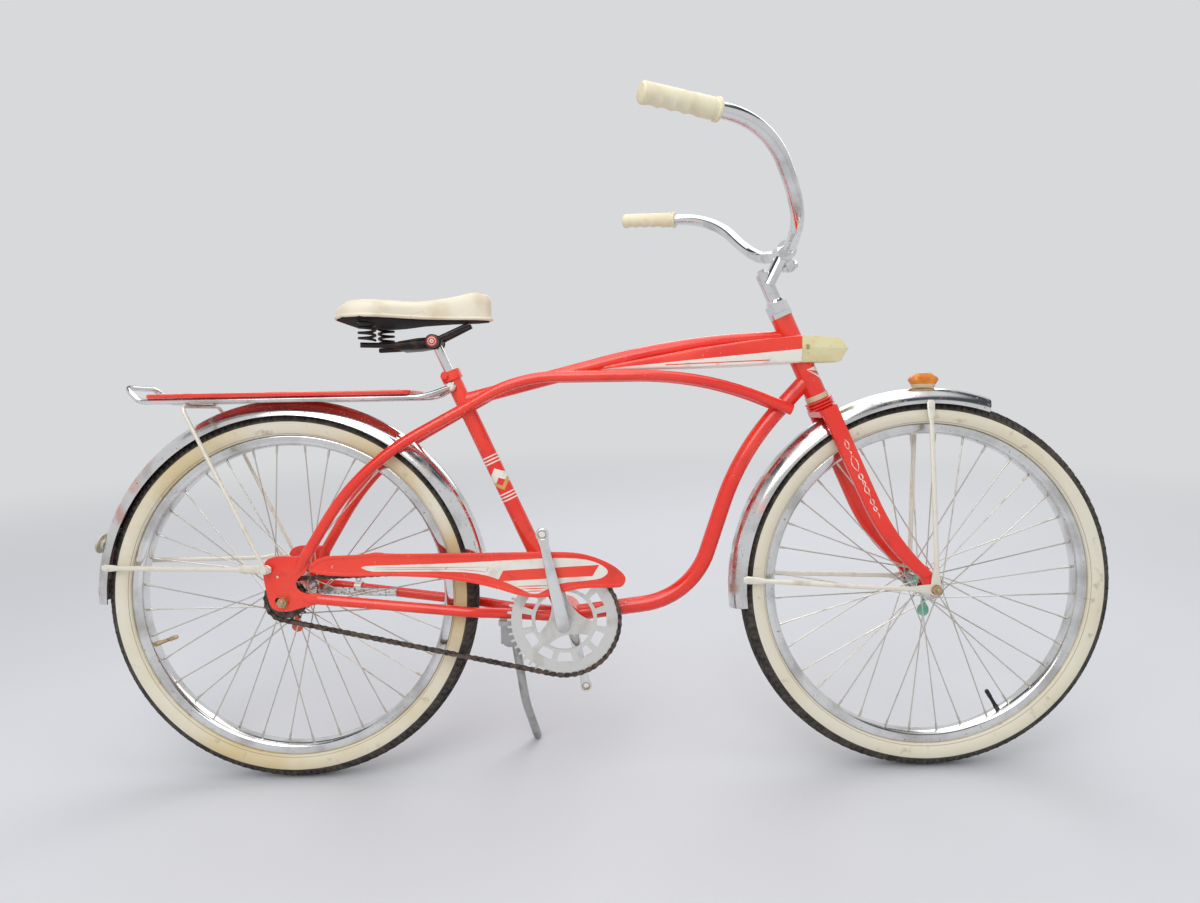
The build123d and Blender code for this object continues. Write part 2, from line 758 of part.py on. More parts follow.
# Stem, handlebar and grips.
stem_low = locknut_high + seat_gap
stem_high = stem_low + stem_length
stem_column_diameter = 25.4
clamp_half_width = 22.0
clamp_diameter = 34.0
bar_middle = on_steerer(stem_high + bar_clamp_lift, bar_clamp_reach)
bar_shape = [
    # shares of the sweep, half width and rise, bend radius as a share of the half width
    (0.0, 0.142, 0.0, 0.70),
    (0.064, 0.527, 0.176, 0.52),
    (0.32, 0.80, 0.894, 0.46),
    (1.0, 1.0, 1.0, 0.0),
]
bar_half = [
    # x, y, z, bend radius: from the clamp outwards to the end of the grip
    (bar_middle.X - back * bar_sweep, out * bar_half_width, bar_middle.Z + up * bar_rise, bend * bar_half_width)
    for back, out, up, bend in bar_shape
]
bar_points = [(x, -y, z) for x, y, z, r in reversed(bar_half)] + [(x, y, z) for x, y, z, r in bar_half]
bar_radii = [r for x, y, z, r in reversed(bar_half[:-1])] + [r for x, y, z, r in bar_half[:-1]]
keep("handlebar", tube(bar_points, bar_radii, bar_diameter))

clamp_right = bar_middle - Vector(0, clamp_half_width, 0)
clamp_left = bar_middle + Vector(0, clamp_half_width, 0)
stem_arm_low = on_steerer(stem_high - 22.0)
with BuildPart() as stem:
    add(straight_tube(on_steerer(stem_low), on_steerer(stem_high), stem_column_diameter))
    with BuildSketch(Plane(origin=stem_arm_low, z_dir=bar_middle - stem_arm_low)):
        SlotOverall(30.0, 22.0, rotation=90)
    extrude(amount=(bar_middle - stem_arm_low).length)
    add(straight_tube(clamp_right, clamp_left, clamp_diameter))
    with BuildSketch(Plane(origin=clamp_right, z_dir=(0, 1, 0))):
        Circle(bar_diameter / 2 + running_gap)
    extrude(amount=2 * clamp_half_width, mode=Mode.SUBTRACT)
keep("stem", stem.part)

grip_cap = 4.0
for side, sign in (("left", 1), ("right", -1)):
    end = Vector(bar_half[-1][0], sign * bar_half[-1][1], bar_half[-1][2])
    bend = Vector(bar_half[-2][0], sign * bar_half[-2][1], bar_half[-2][2])
    inward = (bend - end).normalized()
    grip_end = Plane(origin=end - inward * grip_cap, z_dir=inward)
    with BuildPart() as grip:
        with BuildSketch(grip_end):
            Circle(grip_diameter / 2)
        extrude(amount=grip_length)
        with BuildSketch(grip_end.offset(grip_length - 6)):
            Circle(grip_diameter / 2 + 5)
        extrude(amount=6)
        with BuildSketch(grip_end.offset(grip_cap)):
            Circle(bar_diameter / 2 + running_gap)
        extrude(amount=grip_length, mode=Mode.SUBTRACT)
    keep(f"grip_{side}", grip.part)


# Fenders: a rolled steel gutter round each tyre, its section laid out in flats.
def fender(centre, start, end):
    """A fender over the tyre between two angles, measured from straight ahead over the top."""
    section_radius = (fender_half_width**2 + fender_depth**2) / (2 * fender_depth)
    half_angle = degrees(atan2(fender_half_width, section_radius - fender_depth))
    outer, inner = [], []
    for flat in range(fender_sides + 1):
        angle = radians(half_angle * (2 * flat / fender_sides - 1))
        for wall, row in ((0.0, outer), (fender_wall, inner)):
            reach = section_radius - wall
            row.append((fender_radius - section_radius + reach * cos(angle), reach * sin(angle)))
    plane = Plane(origin=centre, x_dir=(cos(radians(start)), 0, sin(radians(start))),
                  z_dir=(-sin(radians(start)), 0, cos(radians(start))))
    flipped = [(out, -over) for out, over in outer + inner[::-1]]
    return turned(flipped, plane, Axis(centre, (0, -1, 0)), end - start)


keep("front_fender", fender(front_axle_point, front_fender_start_angle, front_fender_end_angle))
keep("rear_fender", fender(Vector(0, 0, 0), rear_fender_start_angle, rear_fender_end_angle))

stay_y = fender_half_width + stay_diameter / 2 + seat_gap
front_stay_y = front_dropout_y + dropout_thickness + stay_diameter / 2 + seat_gap
stay_edge = fender_radius - fender_depth + 4.0
stay_elbow = 70.0
stay_elbow_radius = 120.0
stay_eye_radius = 12.0
stay_eye_thickness = 3.0
behind_rise = 18.0
front_stays = []
for sign in (1, -1):
    eye = front_axle_point + Vector(0, sign * front_stay_y, 0)
    eye_face = front_axle_point + Vector(0, sign * (front_stay_y - stay_diameter / 2), 0)
    with BuildPart() as pair:
        for far_x, far_z in ((0.0, stay_edge), (-stay_edge, behind_rise)):
            toward = Vector(far_x, 0, far_z).normalized()
            far_end = front_axle_point + Vector(far_x, sign * stay_y, far_z)
            near_end = eye + toward * (stay_eye_radius - stay_diameter / 2)
            add(tube([near_end, eye + toward * stay_elbow, far_end], [stay_elbow_radius], stay_diameter))
        with BuildSketch(Plane(origin=eye_face, z_dir=(0, sign, 0))):
            Circle(stay_eye_radius)
        extrude(amount=stay_eye_thickness)
        with BuildSketch(Plane(origin=eye_face, z_dir=(0, sign, 0))):
            Circle(axle_nut_radius + weld_gap)
        extrude(amount=stay_diameter, mode=Mode.SUBTRACT)
        with BuildSketch(Plane(origin=eye_face, z_dir=(0, sign, 0))):
            Circle(stay_eye_radius)
            Circle(front_axle_diameter / 2 + weld_gap, mode=Mode.SUBTRACT)
        extrude(amount=stay_eye_thickness)
    front_stays.extend(pair.part.solids())
keep("front_fender_stays", Compound(children=front_stays))

stay_bolt = (-25.0, 57.6)
stay_bolt_y = rear_dropout_y + dropout_thickness + stay_diameter / 2 + seat_gap
rear_stays = []
for sign in (1, -1):
    far_end = Vector(-(stay_edge - 2), sign * stay_y, stay_bolt[1] + 2.4)
    near_end = Vector(stay_bolt[0], sign * (stay_bolt_y + seat_gap), stay_bolt[1])
    rear_stays.append(straight_tube(far_end, near_end, stay_diameter))
keep("rear_fender_stays", Compound(children=[solid for stay in rear_stays for solid in stay.solids()]))

# Rack: a chrome tube loop clamped at the seat tube, a deck, and a strut to the dropouts.
rack_height = fender_radius - 1.0
rack_tube_diameter = 10.0
rack_half_width = 50.0
deck_half_width = 62.0
deck_rear, deck_front = -225.0, 228.0
deck_thickness = 8.0
strut_diameter = 7.0
rack_clamp = on_seat_tube(seat_tube_length - 29.4) - Vector(6.3, 0, 0)
rack_half = [
    # x, y, z, bend radius: from the seat tube round to the middle of the rear loop
    (rack_clamp.X, seat_tube_diameter / 2 + rack_tube_diameter / 2 + seat_gap, rack_clamp.Z, 0.0),
    (deck_front + 24.0, rack_half_width, rack_height, 55.0),
    (deck_rear - 12.0, rack_half_width, rack_height, 22.0),
    (deck_rear - 37.0, rack_half_width - 4.0, rack_height + 25.0, 16.0),
]
rack_points = [(x, -y, z) for x, y, z, r in rack_half] + [(x, y, z) for x, y, z, r in reversed(rack_half)]
rack_radii = [r for x, y, z, r in rack_half[1:]] + [r for x, y, z, r in reversed(rack_half[1:])]
keep("rack_frame", tube(rack_points, rack_radii, rack_tube_diameter))

deck_low = rack_height + rack_tube_diameter / 2 + seat_gap
with BuildPart() as deck:
    with BuildSketch(Plane.XY.offset(deck_low)):
        with Locations(((deck_rear + deck_front) / 2, 0)):
            RectangleRounded(deck_front - deck_rear, 2 * deck_half_width, 14.0)
    extrude(amount=deck_thickness)
keep("rack_deck", deck.part)

strut_top_x = -157.0
strut_top_y = 70.0
strut_top_z = rack_height - rack_tube_diameter / 2 - strut_diameter / 2 - seat_gap
strut_foot_y = stay_bolt_y + stay_diameter / 2 + strut_diameter / 2 + 2 * seat_gap
strut_half = [
    # x, y, z, bend radius: from the dropout up to the corner under the deck
    (stay_bolt[0], strut_foot_y, stay_bolt[1], 0.0),
    (strut_top_x, strut_top_y, strut_top_z, 14.0),
]
strut_points = [(x, -y, z) for x, y, z, r in strut_half] + [(x, y, z) for x, y, z, r in reversed(strut_half)]
keep("rack_strut", tube(strut_points, [strut_half[1][3]] * 2, strut_diameter))

# Tank between the top tube and the side tubes, and the lamp housing ahead of the head tube.
tank_table = [
    # share of the way from the seat tube to the head tube, bottom and top against that line, half width
    (0.418, 8.4, 13.4, 10.0),
    (0.434, 5.8, 14.0, 11.0),
    (0.717, -22.1, 12.4, 27.0),
    (1.022, -47.2, 0.8, 31.0),
]
tank_line = top_tube_head - top_tube_seat
tank_places = [
    (top_tube_seat.X + tank_line.X * along, top_tube_seat.Z + tank_line.Z * along, low, high, half_width)
    for along, low, high, half_width in tank_table
]
tank_side = [(x, z + low) for x, z, low, high, half_width in tank_places]
tank_side += [(x, z + high) for x, z, low, high, half_width in reversed(tank_places)]
tank_plan = [(x, half_width) for x, z, low, high, half_width in tank_places]
lamp_back = tank_places[-1][0]
lamp_level = tank_places[-1][1]
lamp_side = [
    (lamp_back + seat_gap, lamp_level - 47.2),
    (lamp_back + 60.0, lamp_level - 47.2),
    (lamp_back + 84.0, lamp_level - 25.2),
    (lamp_back + 84.0, lamp_level - 21.2),
    (lamp_back + 60.0, lamp_level - 4.2),
    (lamp_back + seat_gap, lamp_level + 0.8),
]
lamp_plan = [
    (lamp_back + seat_gap, tank_table[-1][3]),
    (lamp_back + 60.0, tank_table[-1][3] - 2.0),
    (lamp_back + 84.0, tank_table[-1][3] - 14.0),
]


def shaped(side_outline, plan_outline, origin=Vector(0, 0, 0)):
    """A body with one outline from the side and another, given by half widths, from above."""
    reach = 2 * max(w for x, w in plan_outline) + 2 * max(abs(z) for x, z in side_outline)
    with BuildPart() as body:
        with BuildSketch(Plane(origin=origin, x_dir=(1, 0, 0), z_dir=(0, -1, 0))):
            with BuildLine():
                Polyline(*side_outline, close=True)
            make_face()
        extrude(amount=reach, both=True)
        with BuildSketch(Plane(origin=origin)):
            with BuildLine():
                Polyline(*plan_outline, *[(x, -w) for x, w in reversed(plan_outline)], close=True)
            make_face()
        extrude(amount=reach, both=True, mode=Mode.INTERSECT)
    return body.part


tube_allowance = 2 * seat_gap
with BuildPart() as tank:
    add(shaped(tank_side, tank_plan))
    add(straight_tube(head_low, head_high, head_tube_diameter + tube_allowance), mode=Mode.SUBTRACT)
    add(tube(top_tube_route, [top_tube_radius], top_tube_diameter + tube_allowance), mode=Mode.SUBTRACT)
keep("tank", tank.part)
with BuildPart() as headlamp:
    add(shaped(lamp_side, lamp_plan))
    add(straight_tube(head_low, head_high, head_tube_diameter + tube_allowance), mode=Mode.SUBTRACT)
    add(tube(top_tube_route, [top_tube_radius], top_tube_diameter + tube_allowance), mode=Mode.SUBTRACT)
keep("headlamp", headlamp.part)

# Saddle: sprung two-wheeler saddle on a plain post.
collar_height = 16.0
collar_diameter = seat_tube_diameter + 8.0
keep("seat_clamp", straight_tube(on_seat_tube(seat_tube_length - collar_height), seat_tube_top,
                                 collar_diameter, seat_tube_diameter + 2 * weld_gap))
post_top_length = seat_tube_length + 66.0
keep("seat_post", straight_tube(on_seat_tube(seat_tube_length - seat_post_hole_depth + 2),
                                on_seat_tube(post_top_length), seat_post_diameter))

saddle_seat = on_seat_tube(post_top_length - 8.0)
saddle_rear, saddle_front = saddle_seat.X - 158.5, saddle_seat.X + 100.5
saddle_low = saddle_seat.Z + 38.3
saddle_profile = [
    # x, top z
    (saddle_rear, saddle_low + 16.0),
    (saddle_rear + 21.0, saddle_low + 32.0),
    (saddle_rear + 56.0, saddle_low + 34.0),
    (saddle_rear + 133.0, saddle_low + 30.0),
    (saddle_front - 63.0, saddle_low + 40.0),
    (saddle_front - 18.0, saddle_low + 51.0),
    (saddle_front, saddle_low + 36.0),
]
saddle_plan = [
    # x, half width
    (saddle_rear, 62.0),
    (saddle_rear + 21.0, 98.0),
    (saddle_rear + 56.0, 108.0),
    (saddle_rear + 91.0, 92.0),
    (saddle_rear + 133.0, 56.0),
    (saddle_front - 73.0, 33.0),
    (saddle_front - 23.0, 26.0),
    (saddle_front, 12.0),
]
saddle_side = saddle_profile + [(saddle_front, saddle_low), (saddle_rear, saddle_low)]
keep("saddle_cover", shaped(saddle_side, saddle_plan))

pan_thickness = 4.0
pan_high = saddle_low - seat_gap
with BuildPart() as saddle_pan:
    with BuildSketch(Plane.XY.offset(pan_high - pan_thickness)):
        with BuildLine():
            Polyline(*saddle_plan, *[(x, -w) for x, w in reversed(saddle_plan)], close=True)
        make_face()
        offset(amount=-5, kind=Kind.INTERSECTION)
    extrude(amount=pan_thickness)
keep("saddle_pan", saddle_pan.part)

spring_x, spring_y = saddle_rear + 56.0, 62.0
spring_radius = 16.0
spring_coils = 3
spring_low = saddle_low - 41.0
spring_high = pan_high - pan_thickness - seat_gap
coil_pitch = (spring_high - spring_low) / spring_coils
springs = []
for sign in (1, -1):
    outline = [(0, 0)]
    for coil in range(spring_coils):
        base = coil * coil_pitch
        outline += [(spring_radius - 4, base), (spring_radius - 4, base + 0.3 * coil_pitch),
                    (spring_radius, base + 0.3 * coil_pitch), (spring_radius, base + coil_pitch)]
    outline += [(0, spring_high - spring_low)]
    foot = Vector(spring_x, sign * spring_y, spring_low)
    springs.append(turned(outline, Plane(origin=foot, x_dir=(1, 0, 0), z_dir=(0, -1, 0)),
                          Axis(foot, (0, 0, 1))))
keep("saddle_springs", Compound(children=[solid for spring in springs for solid in spring.solids()]))

rail_diameter = 9.0
rail_z = spring_low - rail_diameter / 2 - seat_gap
rail_half = [
    # x, y, z, bend radius: from under a spring, past the post clamp, up to the nose
    (spring_x - 12, spring_y, rail_z, 0.0),
    (spring_x + 30, spring_y - 18, rail_z, 20.0),
    (saddle_seat.X, 21.5, saddle_seat.Z, 40.0),
    (saddle_front - 38.0, 14.0, pan_high - pan_thickness - rail_diameter / 2 - 2 * seat_gap, 0.0),
]
rails = []
for sign in (1, -1):
    rails.append(tube([(x, sign * y, z) for x, y, z, r in rail_half], [r for x, y, z, r in rail_half[1:-1]],
                      rail_diameter))
keep("saddle_rails", Compound(children=[solid for rail in rails for solid in rail.solids()]))

with BuildPart() as saddle_clamp:
    with Locations(saddle_seat):
        Cylinder(13.0, 30.0, rotation=(90, 0, 0))
    with BuildSketch(Plane(origin=on_seat_tube(seat_tube_length), z_dir=seat_up)):
        Circle(seat_post_diameter / 2 + running_gap)
    extrude(amount=200, mode=Mode.SUBTRACT)
keep("saddle_clamp", saddle_clamp.part)

# Chain guard: one flat pressing outside the upper run of chain.
guard_y = rear_dropout_y + dropout_thickness + 2 * seat_gap
guard_wall = 2.0
guard_outline = [
    # x, z, from the rear along the top to the nose and back along the bottom
    (57.0, 79.0),
    (140.0, 80.0),
    (164.0, 85.0),
    (188.0, 80.0),
    (bracket_x - 13.0, 80.0),
    (bracket_x + 37.0, 76.0),
    (bracket_x + 82.0, 58.0),
    (bracket_x + 104.0, 40.0),
    (bracket_x + 109.0, 30.0),
    (bracket_x + 105.0, 19.0),
    (bracket_x + 95.0, 14.0),
    (bracket_x + 40.0, 16.0),
    (bracket_x + 4.0, 10.0),
    (bracket_x - 48.0, -5.0),
    (bracket_x - 141.0, 26.0),
    (240.0, 42.0),
    (38.0, 43.0),
]
with BuildPart() as chain_guard:
    with BuildSketch(Plane.XZ.offset(guard_y)):
        with BuildLine():
            Polyline(*guard_outline, close=True)
        make_face()
    extrude(amount=guard_wall)
keep("chain_guard", chain_guard.part)

# Rear lamp reflector and front reflector, on the fenders.
reflector_angle = 164.0
reflector_radius = 19.0
out_x, out_z = rotated(1.0, reflector_angle)
reflector_base = Vector(out_x, 0, out_z) * (fender_radius + seat_gap)
with BuildPart() as rear_reflector:
    with BuildSketch(Plane(origin=reflector_base, z_dir=(out_x, 0, out_z))):
        Circle(reflector_radius - 8)
    extrude(amount=6)
    with BuildSketch(Plane(origin=reflector_base + Vector(out_x, 0, out_z) * 6, z_dir=(out_x, 0, out_z))):
        Circle(reflector_radius)
    extrude(amount=9, taper=25)
keep("rear_reflector", rear_reflector.part)

amber_height = 26.0
amber_side = [
    # x, z above the fender
    (-19.0, 0.0),
    (19.0, 0.0),
    (26.0, 14.0),
    (13.0, amber_height),
    (-13.0, amber_height),
    (-26.0, 14.0),
]
amber_plan = [
    # x, half width
    (-26.0, 8.0),
    (-14.0, 13.0),
    (14.0, 13.0),
    (26.0, 8.0),
]
keep("front_reflector", shaped(amber_side, amber_plan,
                               front_axle_point + Vector(0, 0, fender_radius + seat_gap)))

# Coaster brake arm, from the left end of the hub to a clip on the left chainstay.
arm_y = rear_hub_half + seat_gap
arm_thickness = 3.0
arm_end = (170.0, -9.0)
with BuildPart() as brake_arm:
    with BuildSketch(Plane.XZ.offset(-arm_y)):
        Circle(16.0)
        with Locations((arm_end[0] / 2, arm_end[1] / 2)):
            Rectangle(arm_end[0], 14.0, rotation=degrees(atan2(arm_end[1], arm_end[0])))
        Circle(rear_axle_diameter / 2 + weld_gap, mode=Mode.SUBTRACT)
    extrude(amount=-arm_thickness)
keep("brake_arm", brake_arm.part)

# Side stand: a cast bracket under the chainstays and a leg that swings back along the left one.
lean = radians(lean_angle)
ground_height = tyre_centre_radius * cos(lean) + tyre_section_radius
stand_pivot = bracket + Vector(-stand_setback, stand_pivot_y, -stand_pivot_drop)
stand_foot_radius = stand_leg_diameter / 2
stand_foot_x = stand_pivot.X + stand_foot_ahead
stand_foot_z = (stand_foot_radius - ground_height + stand_foot_y * sin(lean)) / cos(lean)
stand_foot = Vector(stand_foot_x, stand_foot_y, stand_foot_z)
stand_folded = Vector(-0.985, 0.10, 0.11).normalized()
stand_down = (stand_foot - stand_pivot).normalized()
stand_axis = stand_down.cross(stand_folded).normalized()
stand_travel = stand_down.get_angle(stand_folded)
stand_knee = Vector(stand_pivot.X + stand_knee_ahead, stand_knee_y, stand_pivot.Z - stand_knee_drop)
stand_knee_radius = 100.0
pin_diameter = 10.0
eye_diameter = 24.0
eye_half = 11.0
with BuildPart() as stand_leg:
    with BuildLine() as leg_route:
        FilletPolyline(stand_pivot, stand_knee, stand_foot, radius=stand_knee_radius)
    with BuildSketch(Plane(origin=leg_route.line @ 0, z_dir=leg_route.line % 0)):
        Circle(stand_leg_diameter / 2)
    sweep()
    add(Sphere(stand_foot_radius, mode=Mode.PRIVATE).moved(Location(stand_foot)))
    with BuildSketch(Plane(origin=stand_pivot - stand_axis * eye_half, z_dir=stand_axis)):
        Circle(eye_diameter / 2)
    extrude(amount=2 * eye_half)
    with BuildSketch(Plane(origin=stand_pivot - stand_axis * eye_half, z_dir=stand_axis)):
        Circle(pin_diameter / 2 + running_gap)
    extrude(amount=4 * eye_half, both=True, mode=Mode.SUBTRACT)
keep("stand_leg", stand_leg.part)

boss_face = stand_pivot - stand_axis * (eye_half + seat_gap)
boss_back = boss_face - stand_axis * 26.0
bracket_top = bracket.Z - 2.0
bracket_plate = 8.0
bracket_block = (26.0, 26.0, 50.0)
with BuildPart() as stand_bracket:
    with Locations((stand_pivot.X, 0, bracket_top - bracket_plate / 2)):
        Box(34.0, 72.0, bracket_plate)
    add(straight_tube(boss_back, boss_face, eye_diameter + 2))
    with Locations((boss_back.X, boss_back.Y, bracket_top - bracket_block[2] / 2)):
        Box(*bracket_block)
    add(straight_tube(boss_face, stand_pivot + stand_axis * (eye_half + 6), pin_diameter))
keep("stand_bracket", stand_bracket.part)

# Parked: the bicycle leans to its left onto the stand, and the origin goes to the ground under its middle.
leaned = Location((0, 0, ground_height), (-lean_angle, 0, 0))
reach = Compound(children=[solid.moved(leaned) for solid in pieces.values()]).bounding_box()
parked = Location((-reach.center().X, -reach.center().Y, 0)) * leaned

os.makedirs("parts", exist_ok=True)
for name, solid in pieces.items():
    placed = solid.moved(parked)
    placed.label = name
    export_step(placed, f"parts/{name}.step")

print("bracket", bracket, "chainstay length", chainstay_length)
print("parked shift", parked.position, "stand axis", stand_axis, "travel", stand_travel)
print("steering foot", steer_foot, "up", steer_up)
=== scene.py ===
import json
import math

import bmesh
import bpy
from mathutils import Color, Matrix, Vector


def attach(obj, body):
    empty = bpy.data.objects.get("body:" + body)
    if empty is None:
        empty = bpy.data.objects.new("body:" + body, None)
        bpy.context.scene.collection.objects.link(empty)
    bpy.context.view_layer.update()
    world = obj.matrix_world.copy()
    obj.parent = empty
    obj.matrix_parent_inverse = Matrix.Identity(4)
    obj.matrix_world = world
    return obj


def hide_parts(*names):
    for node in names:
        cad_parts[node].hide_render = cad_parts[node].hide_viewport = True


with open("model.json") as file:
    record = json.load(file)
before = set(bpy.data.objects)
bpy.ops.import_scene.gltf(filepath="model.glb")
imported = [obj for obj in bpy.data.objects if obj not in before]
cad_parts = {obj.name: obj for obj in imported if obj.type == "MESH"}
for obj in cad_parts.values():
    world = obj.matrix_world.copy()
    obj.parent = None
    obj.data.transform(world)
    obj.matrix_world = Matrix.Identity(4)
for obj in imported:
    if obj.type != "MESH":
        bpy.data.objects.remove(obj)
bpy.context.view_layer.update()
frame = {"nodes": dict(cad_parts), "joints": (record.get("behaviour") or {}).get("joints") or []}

# Frame tubes: thin steel tubes brazed together and sprayed with red enamel. The paint has faded in patches,
# holds grime and is chipped through to grey primer. White and gold bands are transferred on the seat tube.
joints = {joint["name"]: joint for joint in frame["joints"]}
forward, leftward, upward = Vector((1, 0, 0)), Vector((0, 1, 0)), Vector((0, 0, 1))
axle_line = Vector(joints["rear_wheel_spin"]["axis"]).normalized()
# The bicycle is drawn upright, in millimetres from the middle of its rear axle, x ahead, y to the rider's
# left and z up. This sets the drawing where the bicycle is parked, leaning to its left onto the side stand.
parked = Matrix((forward, axle_line, forward.cross(axle_line))).transposed().to_4x4()
parked.translation = Vector(joints["rear_wheel_spin"]["pos_m"])


def drawn(joint):
    """Where a joint lies in the upright drawing, and the direction of its axis there."""
    upright = parked.inverted()
    spot = upright @ Vector(joints[joint]["pos_m"]) * 1000
    return spot, (upright.to_3x3() @ Vector(joints[joint]["axis"])).normalized()


class Wire:
    """A socket of a node tree. Arithmetic on it adds Math nodes, and node() adds any other kind."""

    def __init__(self, socket):
        self.socket = socket

    def node(self, kind, settings, sockets, output=0):
        """A new node in this tree: its settings first, then the values or links of its sockets."""
        tree = self.socket.id_data
        made = tree.nodes.new(kind)
        for name, value in settings.items():
            setattr(made, name, value)
        for name, value in sockets.items():
            for entry in value if isinstance(value, list) else [value]:
                if isinstance(entry, Wire):
                    tree.links.new(entry.socket, made.inputs[name])
                else:
                    made.inputs[name].default_value = entry
        return Wire(made.outputs[output])

    def maths(self, operation, first, second=0.0):
        return self.node("ShaderNodeMath", {"operation": operation}, {0: first, 1: second})

    def __add__(self, other):
        return self.maths("ADD", self, other)

    def __radd__(self, other):
        return self.maths("ADD", other, self)

    def __sub__(self, other):
        return self.maths("SUBTRACT", self, other)

    def __rsub__(self, other):
        return self.maths("SUBTRACT", other, self)

    def __mul__(self, other):
        return self.maths("MULTIPLY", self, other)

    def __rmul__(self, other):
        return self.maths("MULTIPLY", other, self)

    def __truediv__(self, other):
        return self.maths("DIVIDE", self, other)

    def __rtruediv__(self, other):
        return self.maths("DIVIDE", other, self)

    def __gt__(self, other):
        return self.maths("GREATER_THAN", self, other)

    def __lt__(self, other):
        return self.maths("LESS_THAN", self, other)

    def __abs__(self):
        return self.maths("ABSOLUTE", self)


def ink(red, green, blue):
    """A colour from its 0 to 255 screen values."""
    return (*Color((red / 255, green / 255, blue / 255)).from_srgb_to_scene_linear(), 1.0)


def new_finish(name, plain):
    """A new material with its plain values set, and the upright place of each of its points in metres."""
    finish = bpy.data.materials.new(name)
    finish.use_nodes = True
    tree = finish.node_tree
    for socket, value in plain.items():
        tree.nodes["Principled BSDF"].inputs[socket].default_value = value
    place = Wire(tree.nodes.new("ShaderNodeTexCoord").outputs["Object"])
    upright = place.node("ShaderNodeMapping", {"vector_type": "TEXTURE"}, {
        "Vector": place, "Location": parked.translation, "Rotation": parked.to_euler()})
    return finish, upright


def lay_on(finish, links):
    """Links what varies over the surface to the material's shader."""
    shader = finish.node_tree.nodes["Principled BSDF"]
    for socket, wire in links.items():
        finish.node_tree.links.new(wire.socket, shader.inputs[socket])
    return finish


def grain(place, scale, detail):
    """Fine noise over a surface."""
    return place.node("ShaderNodeTexNoise", {}, {"Vector": place, "Scale": scale, "Detail": detail})


def rising(value, low, high):
    """0 where a value is under low, 1 where it is over high, and smooth between."""
    return value.node("ShaderNodeMapRange", {"interpolation_type": "SMOOTHSTEP"}, {
        "Value": value, "From Min": low, "From Max": high})


def patches(place, scale, low, high, detail=4.0):
    """Soft-edged blotches: 0 where the noise is under low and 1 where it is over high."""
    return rising(grain(place, scale, detail), low, high)


def mixed(mask, under, over):
    """The under colour where the mask is 0, and the over colour where it is 1."""
    return mask.node("ShaderNodeMix", {"data_type": "RGBA"}, {0: mask, 6: under, 7: over}, 2)


def raised(height, strength, distance):
    """The normal of a surface whose relief is the given height, in metres of distance."""
    return height.node("ShaderNodeBump", {}, {"Height": height, "Strength": strength, "Distance": distance})


def along(place, origin, direction):
    """How far each point lies from an origin, in millimetres of the drawing, along a direction."""
    offset = Vector(direction).dot(Vector(origin)) / 1000
    return (place.node("ShaderNodeVectorMath", {"operation": "DOT_PRODUCT"}, {
        0: place, 1: Vector(direction)}, 1) - offset) * 1000


def within(value, low, high):
    """1 where a value lies between two limits."""
    return (value > low) * (value < high)


red_fresh, red_faded = ink(230, 40, 22), ink(240, 64, 42)
red_grime, bare_primer = ink(112, 40, 30), ink(196, 170, 150)
transfer_white, transfer_gold = ink(232, 228, 216), ink(206, 160, 84)


def red_enamel(name, marks=None):
    """Red enamel, with any painted marks under its grime and chips."""
    finish, place = new_finish(name, {"Coat Roughness": 0.10, "IOR": 1.5})
    colour = mixed(patches(place, 7.0, 0.38, 0.66), red_fresh, red_faded)
    if marks:
        for mask, paint in marks(place):
            colour = mixed(mask, colour, paint)
    grime = patches(place, 34.0, 0.56, 0.78)
    colour = mixed(grime * 0.34, colour, red_grime)
    chips = patches(place, 120.0, 0.71, 0.74, 2.0) * patches(place, 9.0, 0.52, 0.60)
    orange_peel = grain(place, 420.0, 2.0)
    return lay_on(finish, {
        "Base Color": mixed(chips * 0.85, colour, bare_primer),
        "Roughness": 0.24 + grime * 0.22 + chips * 0.3,
        "Coat Weight": 0.4 - chips * 0.3,
        "Normal": raised(orange_peel - chips * 0.6, 0.08, 0.0006),
    })


def paint_nodes(finish, *nodes):
    """Gives CAD nodes their finish."""
    for node in nodes:
        frame["nodes"][node].data.materials.clear()
        frame["nodes"][node].data.materials.append(finish)


def pointing(degrees):
    """A direction in the plane of the wheels, by its angle up from straight ahead."""
    return Vector((math.cos(math.radians(degrees)), 0, math.sin(math.radians(degrees))))


bracket = drawn("crank_spin")[0]
seat_up = pointing(114.2)
band_heights, band_width = (230.0, 236.0, 242.0, 301.0, 307.0, 313.0), 2.4
white_dart, gold_dart, dart_slant = (274.0, 292.0), (250.0, 258.0), 0.9


def seat_tube_bands(place):
    """Fine white lines round the seat tube, with a white dart and a gold one between them."""
    height = along(place, bracket, seat_up)
    slant = abs(along(place, bracket, leftward.cross(seat_up))) * dart_slant
    for low in band_heights:
        yield within(height, low, low + band_width), transfer_white
    yield within(height + slant, *white_dart), transfer_white
    yield within(height - slant, *gold_dart), transfer_gold


steer_foot, steer_up = drawn("steering")
steer_ahead = leftward.cross(steer_up)
barb_height, barb_back, barb_slopes = 420.0, -2.0, ((0.0, 0.5), (0.95, 1.3))


def on_steerer(height, ahead=0.0, y=0.0):
    """A point by its height up the steering axis, its distance ahead of it, and its side."""
    return steer_foot + steer_up * height + steer_ahead * ahead + leftward * y


def head_tube_barbs(place):
    """Two white barbs on each side of the head tube, opening towards the front."""
    ahead = along(place, on_steerer(barb_height, barb_back), steer_ahead)
    fall = along(place, on_steerer(barb_height), steer_up) * -1.0 / ahead
    for low, high in barb_slopes:
        yield within(fall, low, high) * (ahead > 0.0), transfer_white


